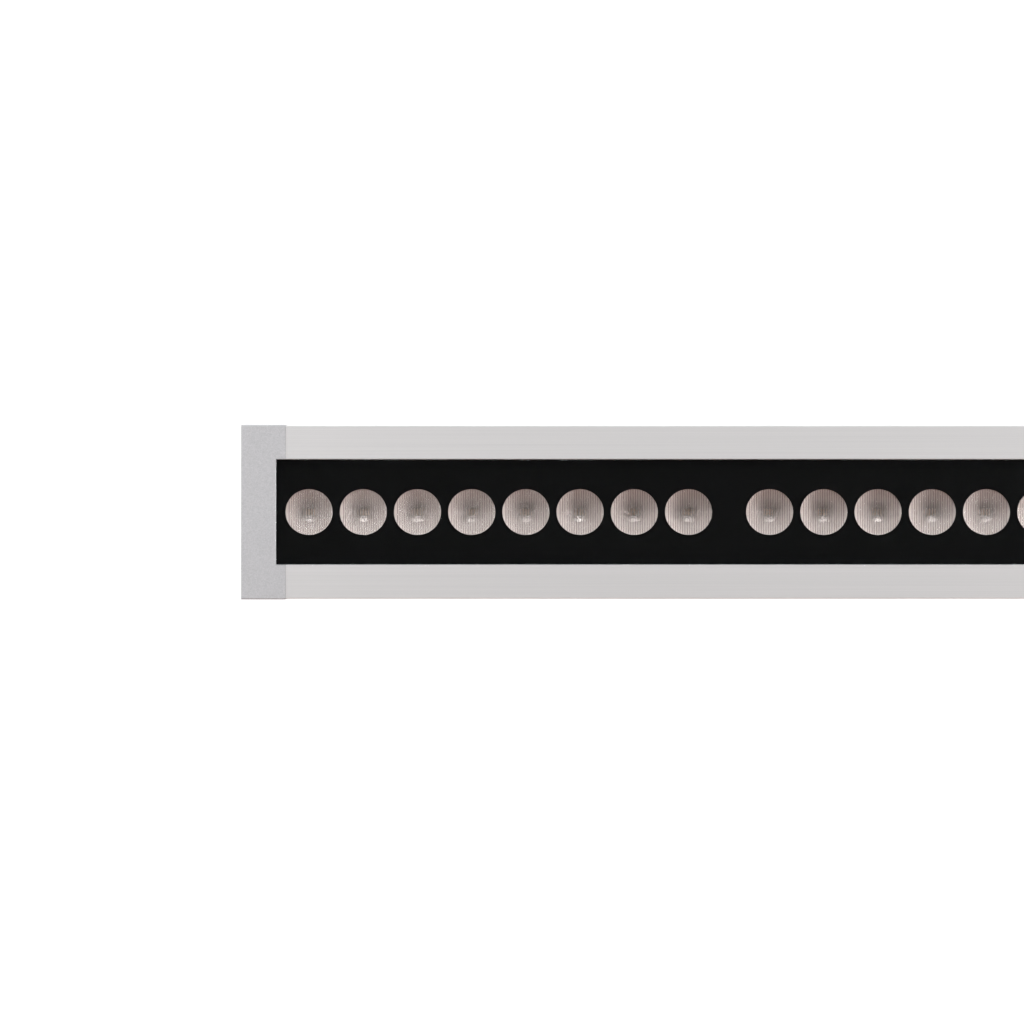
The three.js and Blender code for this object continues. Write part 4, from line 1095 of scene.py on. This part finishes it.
# %% LED boards
CHIP = 0.95 * MM
CHIP_GAP = 0.15 * MM
CHIP_RISE = 0.15 * MM
CERAMIC = 3.6 * MM
DOME = 1.6 * MM
DOME_LIFT = 0.25 * MM
DOME_STEPS = 8
BOARD = 1.6 * MM
ceramic_top = lens_top + bowl_height(BOWL_FOOT) - BOWL_WALL - 0.1 * MM
dome_arc = [(DOME * math.cos(math.pi / 2 * i / DOME_STEPS), DOME * math.sin(math.pi / 2 * i / DOME_STEPS))
            for i in range(DOME_STEPS)]
for group in range(1, GROUPS + 1):
    low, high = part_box(f"led_board_{group}")
    board_top = low.z + BOARD
    board, ceramic, chips, domes = (bmesh.new() for _ in range(4))
    boxed(board, low, (high.x, high.y, board_top), 0.15 * MM)
    for spot in lens_places(group):
        at = Vector((spot.x, spot.y, ceramic_top))
        half = Vector((CERAMIC / 2, CERAMIC / 2, 0))
        boxed(ceramic, at - half - Z * (ceramic_top - board_top), at + half, 0.1 * MM)
        half = Vector((CHIP / 2, CHIP / 2, 0))
        for sx in (-1, 1):
            for sy in (-1, 1):
                mid = at + Vector((sx, sy, 0)) * (CHIP + CHIP_GAP) / 2
                boxed(chips, mid - half, mid + half + Z * CHIP_RISE, 0.04 * MM)
        turned(domes, [(0, 0)] + dome_arc + [(0, DOME)], Matrix.Translation(at + Z * DOME_LIFT), steps=32)
    stand_for(as_piece(f"led_board_{group}_fine", board, board_white), f"led_board_{group}")
    ride_with(as_piece(f"led_ceramic_{group}", ceramic, chip_ceramic), f"led_board_{group}")
    ride_with(as_piece(f"led_chips_{group}", chips, chip_phosphor), f"led_board_{group}")
    ride_with(as_piece(f"led_domes_{group}", domes, lens_clear), f"led_board_{group}")
print("boards with", LENSES, "sources each")

# %% [markdown]
# ## Control panel
# A moulded panel fills the pocket in one side of the bar, and a smoked window covers its display. Both
# keep the frame's shapes, and their edges are rounded like those of any moulding.

# %% Panel and window
PANEL_EDGE = 0.35 * MM
WINDOW_EDGE = 0.25 * MM
panel = as_piece("control_panel_fine", refined("control_panel", PANEL_EDGE), black_plastic)
stand_for(panel, "control_panel")
window = as_piece("display_window_fine", refined("display_window", WINDOW_EDGE), smoked)
stand_for(window, "display_window")
print("panel and window:", len(panel.data.polygons), "and", len(window.data.polygons), "faces")

# %% [markdown]
# ### Digits
# Numbers show as unlit seven-bar digits. A thin bar with pointed ends is a hexagon whose points are pulled
# apart. Seven of them make a digit, and they are laid just proud of the window.

# %% Display digits
PRINT_RISE = 0.06 * MM
DIGITS = 4
DIGIT_PITCH = 8 * MM
BAR_LENGTH = 4.1 * MM
BAR_WIDTH = 0.8 * MM
BAR_GAP = 0.5 * MM
DIGIT_BARS = ((0, 1, 0), (0, 0, 0), (0, -1, 0), (-0.5, 0.5, 90), (0.5, 0.5, 90), (-0.5, -0.5, 90),
              (0.5, -0.5, 90))


def on_side(x, z, y):
    """Placing matrix for a print on a face that looks along -Y: its own X runs along the bar and Y is up."""
    return Matrix.Translation((x, y, z)) @ Matrix.Rotation(math.radians(90), 4, "X")


def bar_shape(shape, place, length, width):
    """A thin bar with pointed ends, as in a seven-bar digit."""
    for vert in ring(shape, width / 2, segments=6, start=math.radians(30)):
        vert.co.y = math.copysign(width / 2, vert.co.y) if abs(vert.co.y) > 0.1 * width else 0
        vert.co.x = math.copysign(length / 2 - (width / 2 if vert.co.y else 0), vert.co.x)
    raised(shape, PRINT_RISE, place)


digit_face = on_side(middle("display_window").x, middle("display_window").z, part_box("display_window")[0].y)
shape = bmesh.new()
for digit in range(DIGITS):
    along = (digit - (DIGITS - 1) / 2) * DIGIT_PITCH
    for x, y, turn in DIGIT_BARS:
        at = Matrix.Translation((along + x * BAR_LENGTH, y * BAR_LENGTH, 0))
        around = Matrix.Rotation(math.radians(turn), 4, "Z")
        bar_shape(shape, digit_face @ at @ around, BAR_LENGTH - BAR_GAP, BAR_WIDTH)
ride_with(as_piece("display_digits", shape, segment_off), "display_window")
print("display with", DIGITS, "digits")

# %% [markdown]
# ### Keys
# Each key is its own piece of rubber, because it is pressed in on its own. Its print is a sign and not a
# word: three lines for the menu, a triangle up, a triangle down and a ring.

# %% Keys and their prints
KEY_EDGE = 0.5 * MM
TRIANGLE_RADIUS = 1.7 * MM
MENU_PITCH = 1.3 * MM
MENU_LENGTH = 3.6 * MM
MENU_WIDTH = 0.5 * MM
RING_RADII = (1.8 * MM, 1.3 * MM)


def triangle(shape, place, turn):
    ring(shape, TRIANGLE_RADIUS, segments=3, start=turn)
    raised(shape, PRINT_RISE, place)


def print_mode(shape, place):
    for step in (-1, 0, 1):
        line = place @ Matrix.Translation((0, step * MENU_PITCH, 0))
        bar_shape(shape, line, MENU_LENGTH, MENU_WIDTH)


def print_enter(shape, place):
    for radius in RING_RADII:
        ring(shape, radius, segments=40)
    raised(shape, PRINT_RISE, place)


key_prints = {
    "button_mode": print_mode,
    "button_up": lambda shape, place: triangle(shape, place, math.radians(0)),
    "button_down": lambda shape, place: triangle(shape, place, math.radians(180)),
    "button_enter": print_enter,
}
for node, draw in key_prints.items():
    low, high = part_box(node)
    stand_for(as_piece(f"{node}_key", refined(node, KEY_EDGE, segments=3), key_rubber), node)
    shape = bmesh.new()
    draw(shape, on_side(middle(node).x, middle(node).z, low.y))
    ride_with(as_piece(f"{node}_print", shape, key_print), node)
print("panel with", len(key_prints), "keys")

# %% [markdown]
# ### Panel screws
# One short screw near each corner holds the panel. All four are alike, so two loops place them.

# %% Panel screws
PANEL_SCREW_INSET = Vector((2.6 * MM, 0, 3 * MM))
PANEL_SCREW_RISE = 0.2 * MM
PANEL_SCREW = {"head": 1.6 * MM, "height": 1 * MM, "key": 0.8 * MM, "key_depth": 0.5 * MM,
               "chamfer": 0.3 * MM}
panel_low, panel_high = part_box("control_panel")
screw_low, screw_high = panel_low + PANEL_SCREW_INSET, panel_high - PANEL_SCREW_INSET
for i, x in enumerate((screw_low.x, screw_high.x)):
    for j, z in enumerate((screw_low.z, screw_high.z)):
        shape = bmesh.new()
        socket_screw(shape, aimed(Vector((x, panel_low.y - PANEL_SCREW_RISE, z)), -Y), **PANEL_SCREW)
        ride_with(as_piece(f"panel_screw_{2 * i + j + 1}", shape, stainless), "control_panel")
print("four panel screws")

# %% [markdown]
# ## Breather vent
# A vent in the back lets the sealed bar equalise its pressure. It is a small plastic bolt with a hexagon
# flange and a domed hat, and short ribs round the hat keep its air slots open. The flange is a raised
# outline, the hat and the stem are turned, and the ribs are rounded boxes.

# %% Breather vent
vent_low, vent_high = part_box("breather_vent")
VENT_RADIUS = (vent_high.x - vent_low.x) / 2
VENT_HAT = 3.2 * MM
VENT_FLANGE = 1.3 * MM
VENT_RIBS = 8
RIB_HALF_WIDTH = 0.45 * MM
STEM_RADIUS = 4.5 * MM
STEM_CHAMFER = 0.3 * MM
shape = bmesh.new()
back_z = vent_low.z + VENT_HAT
vent_seat = aimed(Vector((*middle("breather_vent").xy, back_z)), -Z)
ring(shape, VENT_RADIUS, segments=6)
raised(shape, VENT_FLANGE, vent_seat)
round_edges(shape, 0.25 * MM)
hat = VENT_RADIUS - 1.1 * MM
turned(shape, [(0, VENT_FLANGE / 2), (hat, VENT_FLANGE / 2), (hat, VENT_HAT - 0.7 * MM),
               (hat - 0.3 * MM, VENT_HAT - 0.2 * MM), (hat - 1 * MM, VENT_HAT), (0, VENT_HAT)],
       vent_seat)
stem = vent_high.z - back_z
turned(shape, [(0, -stem), (STEM_RADIUS - STEM_CHAMFER, -stem), (STEM_RADIUS, -stem + STEM_CHAMFER),
               (STEM_RADIUS, VENT_FLANGE / 2), (0, VENT_FLANGE / 2)], vent_seat)
rib_low = (hat - 0.8 * MM, -RIB_HALF_WIDTH, VENT_FLANGE)
rib_high = (hat + 0.35 * MM, RIB_HALF_WIDTH, VENT_HAT - 0.9 * MM)
for i in range(VENT_RIBS):
    around = Matrix.Rotation(2 * math.pi * i / VENT_RIBS, 4, "Z")
    boxed_at(shape, vent_seat @ around, rib_low, rib_high, 0.12 * MM)
stand_for(as_piece("breather_vent_fine", shape, black_plastic), "breather_vent")
print("vent with", VENT_RIBS, "ribs")

# %% [markdown]
# ## Safety loop
# Near the middle a bent wire loop takes the safety bond. A disc as thick as the wire is pulled down one
# leg, spun half a turn round the bend and pulled up the other leg. The discs that are left inside the
# wire are deleted. Its ends go through the back of the bar, with a turned collar round each.

# %% Safety loop
COLLAR = 1.2 * MM
COLLAR_WIDTH = 2.2 * MM
COLLAR_CHAMFER = 0.3 * MM
BEND_STEPS = 28


def wire_loop(node):
    """Down one leg, half a turn round the bend and up the other leg."""
    low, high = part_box(node)
    wire = (high.y - low.y) / 2
    centre = (low + high) / 2
    half_span = (high.x - low.x) / 2 - wire
    bend = Vector((centre.x, centre.y, low.z + wire + half_span))
    shape = bmesh.new()
    ring_place = Matrix.Translation((centre.x - half_span, centre.y, high.z))
    start = bmesh.ops.create_circle(shape, cap_ends=True, segments=24, radius=wire, matrix=ring_place)
    face = start["verts"][0].link_faces[0]

    def pull(face, vec):
        made = bmesh.ops.extrude_face_region(shape, geom=[face])["geom"]
        bmesh.ops.translate(shape, verts=[g for g in made if isinstance(g, bmesh.types.BMVert)], vec=vec)
        return next(g for g in made if isinstance(g, bmesh.types.BMFace))

    face = pull(face, (0, 0, bend.z - high.z))
    made = bmesh.ops.spin(
        shape, geom=[face], cent=bend, axis=Y, angle=-math.pi, steps=BEND_STEPS)["geom_last"]
    face = next(g for g in made if isinstance(g, bmesh.types.BMFace))
    pull(face, (0, 0, high.z - bend.z))
    inner = [f for f in shape.faces if all(len(e.link_faces) > 2 for e in f.edges)]
    bmesh.ops.delete(shape, geom=inner, context="FACES_ONLY")
    bmesh.ops.recalc_face_normals(shape, faces=shape.faces[:])
    return shape, centre, half_span, wire


shape, loop_centre, loop_half_span, loop_wire = wire_loop("safety_loop")
stand_for(as_piece("safety_loop_fine", shape, stainless), "safety_loop")
shape = bmesh.new()
collar_radius = loop_wire + COLLAR_WIDTH
for side in (-1, 1):
    leg = Vector((loop_centre.x + side * loop_half_span, loop_centre.y, back_z))
    turned(shape, [(loop_wire, 0), (collar_radius, 0), (collar_radius, COLLAR - COLLAR_CHAMFER),
                   (collar_radius - COLLAR_CHAMFER, COLLAR), (loop_wire, COLLAR), (loop_wire, 0)],
           aimed(leg, -Z), steps=48)
ride_with(as_piece("safety_loop_collars", shape, stainless), "safety_loop")
print("loop of", round(2 * loop_wire / MM, 1), "mm wire")

# %% [markdown]
# ## Feet and carriages
# A foot is bent and welded from steel plate: a base with bolt holes and two upright ears. A cast carriage
# hangs on the rail, and its lug swings between the ears on a bolt, so the bar tilts. All their holes and
# round ends share a few axes, which is what the rounder needs. A bead of weld runs along each ear's foot.

# %% Feet, carriages and washers
PLATE_EDGE = 0.45 * MM
CAST_EDGE = 0.7 * MM
EAR_REACH = 12.5 * MM
GRUB_HOLE_REACH = 6 * MM
CENTRE_HOLE_REACH = 7 * MM
BASE_HOLE_REACH = 3.5 * MM
BASE_HOLE_INSET = Vector((9 * MM, 8 * MM, 0))
SHEET = 3 * MM
EAR_AT = 16 * MM
WELD_HALF_LENGTH = 11 * MM
WELD_RADIUS = 1.3 * MM
WELD_STEPS = 44
WELD_SWELL = 0.1
WASHER_EDGE = 0.3 * MM
GRUB_SCREW = {"head": 2.8 * MM, "key": 1.5 * MM, "key_depth": 2 * MM, "chamfer": 0.5 * MM}


def weld(shape, start, end, radius):
    """A bead of weld: a rod along Y whose rings swell and shrink in even ripples."""
    length = (end - start).length
    rings = [(radius * (1 + WELD_SWELL * math.sin(i * math.pi / 2)), length * i / WELD_STEPS)
             for i in range(WELD_STEPS + 1)]
    turned(shape, [(0, 0)] + rings + [(0, length)], aimed(start, (end - start)), steps=14)


for side in SIDES:
    foot, carriage, bolt = f"foot_{side}", f"carriage_{side}", f"pivot_bolt_{side}"
    pivot = Vector((middle(foot).x, 0, middle(bolt).z))
    low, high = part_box(foot)
    first_hole, last_hole = low + BASE_HOLE_INSET, high - BASE_HOLE_INSET
    circles = [(pivot, X, EAR_REACH), (Vector((pivot.x, 0, 0)), Z, CENTRE_HOLE_REACH)]
    circles += [(Vector((x, y, 0)), Z, BASE_HOLE_REACH)
                for x in (first_hole.x, last_hole.x) for y in (first_hole.y, last_hole.y)]
    shape = refined(foot, PLATE_EDGE, circles, convex=True)
    for ear in (-1, 1):
        seam = Vector((pivot.x + ear * EAR_AT, 0, low.z + SHEET))
        weld(shape, seam - Y * WELD_HALF_LENGTH, seam + Y * WELD_HALF_LENGTH, WELD_RADIUS)
    stand_for(as_piece(f"{foot}_fine", shape, powder_coat), foot)
    screw_node = f"carriage_screw_{side}"
    grub = middle(screw_node)
    shape = refined(carriage, CAST_EDGE, [(pivot, X, EAR_REACH), (grub, Z, GRUB_HOLE_REACH)])
    stand_for(as_piece(f"{carriage}_fine", shape, cast_alloy), carriage)
    low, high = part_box(screw_node)
    shape = bmesh.new()
    socket_screw(shape, aimed(Vector((*grub.xy, low.z)), -Z), height=high.z - low.z, **GRUB_SCREW)
    stand_for(as_piece(f"{screw_node}_fine", shape, powder_coat), screw_node)
    for i in (1, 2):
        washer = f"friction_washer_{side}_{i}"
        shape = refined(washer, WASHER_EDGE, [(pivot, X, EAR_REACH)])
        stand_for(as_piece(f"{washer}_fine", shape, nylon), washer)
    print(foot, "pivot", round(pivot.z / MM, 1), "mm up")

# %% [markdown]
# ## Pivot bolts
# The bolt has a forged hexagon head on a washer face, and a cone cuts the corners of the head. A plain
# hexagon has too few points for that curve. So the outline starts as a circle of 48 points, which are
# drawn in to the six flats before their tops are lowered by the cone.

# %% Pivot bolts
HEX_RADIUS = 7.5 * MM
HEX_FACE = 0.5 * MM
HEX_SINK = 0.2 * MM
HEX_TOP_INSET = 0.35 * MM
POINTS_PER_FLAT = 8
CONE_SLOPE = math.tan(math.radians(30))
HEAD_HEIGHT = 5.3 * MM
BOLT_RADIUS = 4 * MM
BOLT_CHAMFER = 0.6 * MM


def hex_head(shape, place, radius, height):
    """A hexagon prism from 0 to height whose top is cut by a cone, so the flats end in curves."""
    apothem = radius * math.cos(math.pi / 6)
    for vert in ring(shape, radius, segments=6 * POINTS_PER_FLAT):
        angle = math.atan2(vert.co.y, vert.co.x) % (math.pi / 3) - math.pi / 6
        vert.co *= apothem / math.cos(angle) / radius
    made = raised(shape, height, Matrix())
    for vert in made:
        if vert.co.z > height / 2:
            over = Vector((vert.co.x, vert.co.y, 0)).length - apothem
            vert.co.z -= max(over, 0) * CONE_SLOPE
    tops = [f for f in {f for v in made for f in v.link_faces} if f.normal.z > 0.7]
    bmesh.ops.delete(shape, geom=tops, context="FACES")
    rim = [e for e in shape.edges if e.is_boundary]
    step = bmesh.ops.extrude_edge_only(shape, edges=rim)["geom"]
    inner = [g for g in step if isinstance(g, bmesh.types.BMVert)]
    for vert in inner:
        level = Vector((vert.co.x, vert.co.y, 0)).normalized() * (apothem - HEX_TOP_INSET)
        vert.co = (level.x, level.y, height)
    bmesh.ops.contextual_create(shape, geom=[g for g in step if isinstance(g, bmesh.types.BMEdge)])
    made = [v for v in made if v.is_valid] + inner
    bmesh.ops.recalc_face_normals(shape, faces=list({f for v in made for f in v.link_faces}))
    bmesh.ops.transform(shape, matrix=place, verts=made)


for side in SIDES:
    bolt = f"pivot_bolt_{side}"
    low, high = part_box(bolt)
    seat = Vector((low.x + HEAD_HEIGHT, *middle(bolt).yz))
    shape = bmesh.new()
    head_place = aimed(seat - X * HEX_FACE, -X) @ Matrix.Rotation(math.radians(30), 4, "Z")
    hex_head(shape, head_place, HEX_RADIUS, HEAD_HEIGHT - HEX_FACE)
    length = high.x - seat.x
    washer_face = HEX_RADIUS - 1.2 * MM
    turned(shape, [(0, -HEX_FACE - HEX_SINK), (washer_face, -HEX_FACE - HEX_SINK), (washer_face, 0),
                   (BOLT_RADIUS, 0), (BOLT_RADIUS, length - BOLT_CHAMFER),
                   (BOLT_RADIUS - BOLT_CHAMFER, length), (0, length)], aimed(seat, X))
    stand_for(as_piece(f"{bolt}_fine", shape, stainless), bolt)
    print(bolt, "head and", round(length / MM, 1), "mm shank")

# %% [markdown]
# ## Knobs
# The bolt's other end screws into a moulded knob with six lobes, which fingers can grip. The knob is turned
# first. Then its head is pushed out and in round the circle by a cosine, which fades out at the hub.

# %% Knobs
LOBES = 6
KNOB_STEPS = 120
KNOB_RADIUS = 11 * MM
LOBE_HEIGHT = 1 * MM
LOBE_FADE = 1.2 * MM
KNOB_HUB = 8 * MM
HUB_LENGTH = 6 * MM
BORE = 4.3 * MM
BORE_END = 13.3 * MM


def knob(shape, place, length):
    """Bore, hub, shoulder, grip and dished front, then the lobes."""
    grip = KNOB_RADIUS
    profile = [
        (0, BORE_END), (BORE, BORE_END), (BORE, 0.3 * MM), (BORE + 0.3 * MM, 0),
        (KNOB_HUB - 0.5 * MM, 0), (KNOB_HUB, 0.5 * MM), (KNOB_HUB, HUB_LENGTH - 0.6 * MM),
        (KNOB_HUB + 0.5 * MM, HUB_LENGTH), (grip - 1.1 * MM, HUB_LENGTH),
        (grip - 0.35 * MM, HUB_LENGTH + 0.3 * MM), (grip, HUB_LENGTH + 1.1 * MM),
        (grip, length - 1.6 * MM), (grip - 0.5 * MM, length - 0.5 * MM), (grip - 1.6 * MM, length),
        (grip - 3.2 * MM, length), (grip - 3.8 * MM, length - 0.8 * MM), (3 * MM, length - 1.1 * MM),
        (2.6 * MM, length - 0.5 * MM), (0, length - 0.4 * MM)]
    fresh = turned(shape, profile, Matrix(), steps=KNOB_STEPS)
    for vert in fresh:
        flat = Vector((vert.co.x, vert.co.y, 0))
        share = min(max((flat.length - KNOB_HUB - LOBE_FADE / 2) / LOBE_FADE, 0), 1)
        if share:
            angle = math.atan2(flat.y, flat.x)
            vert.co += flat.normalized() * LOBE_HEIGHT * math.cos(LOBES * angle) * share
    bmesh.ops.transform(shape, matrix=place, verts=fresh)


for side in SIDES:
    node = f"tilt_knob_{side}"
    low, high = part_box(node)
    shape = bmesh.new()
    knob(shape, aimed(Vector((low.x, *middle(node).yz)), X), high.x - low.x)
    stand_for(as_piece(f"{node}_fine", shape, black_plastic, sharp=40), node)
    print(node, "with", LOBES, "lobes")

# %% [markdown]
# ## Inside the bar
# The driver, boards, looms and gaskets are hidden once the bar is closed, and their shapes in the frame
# are already what they are. They keep their own meshes and only get their finishes.

# %% Finishes of the inner nodes
paint(cast_alloy, "driver_module")
paint(board_green, "control_board")
paint(silicone, "cover_gasket", "end_gasket_left", "end_gasket_right")
paint(sheath, "mains_loom", "power_link_loom", "data_link_loom", "data_loom", "led_lead")
shown = sorted(name for name, node in frame["nodes"].items() if not node.hide_render)
print("nodes that keep their own mesh:", ", ".join(shown))

# %% [markdown]
# ## Size
# The model made here must be as large as the frame says. The frame's box is printed.

# %% Print the frame's size
print("frame", [round(v / MM, 2) for v in (cad_high - cad_low)], "mm")
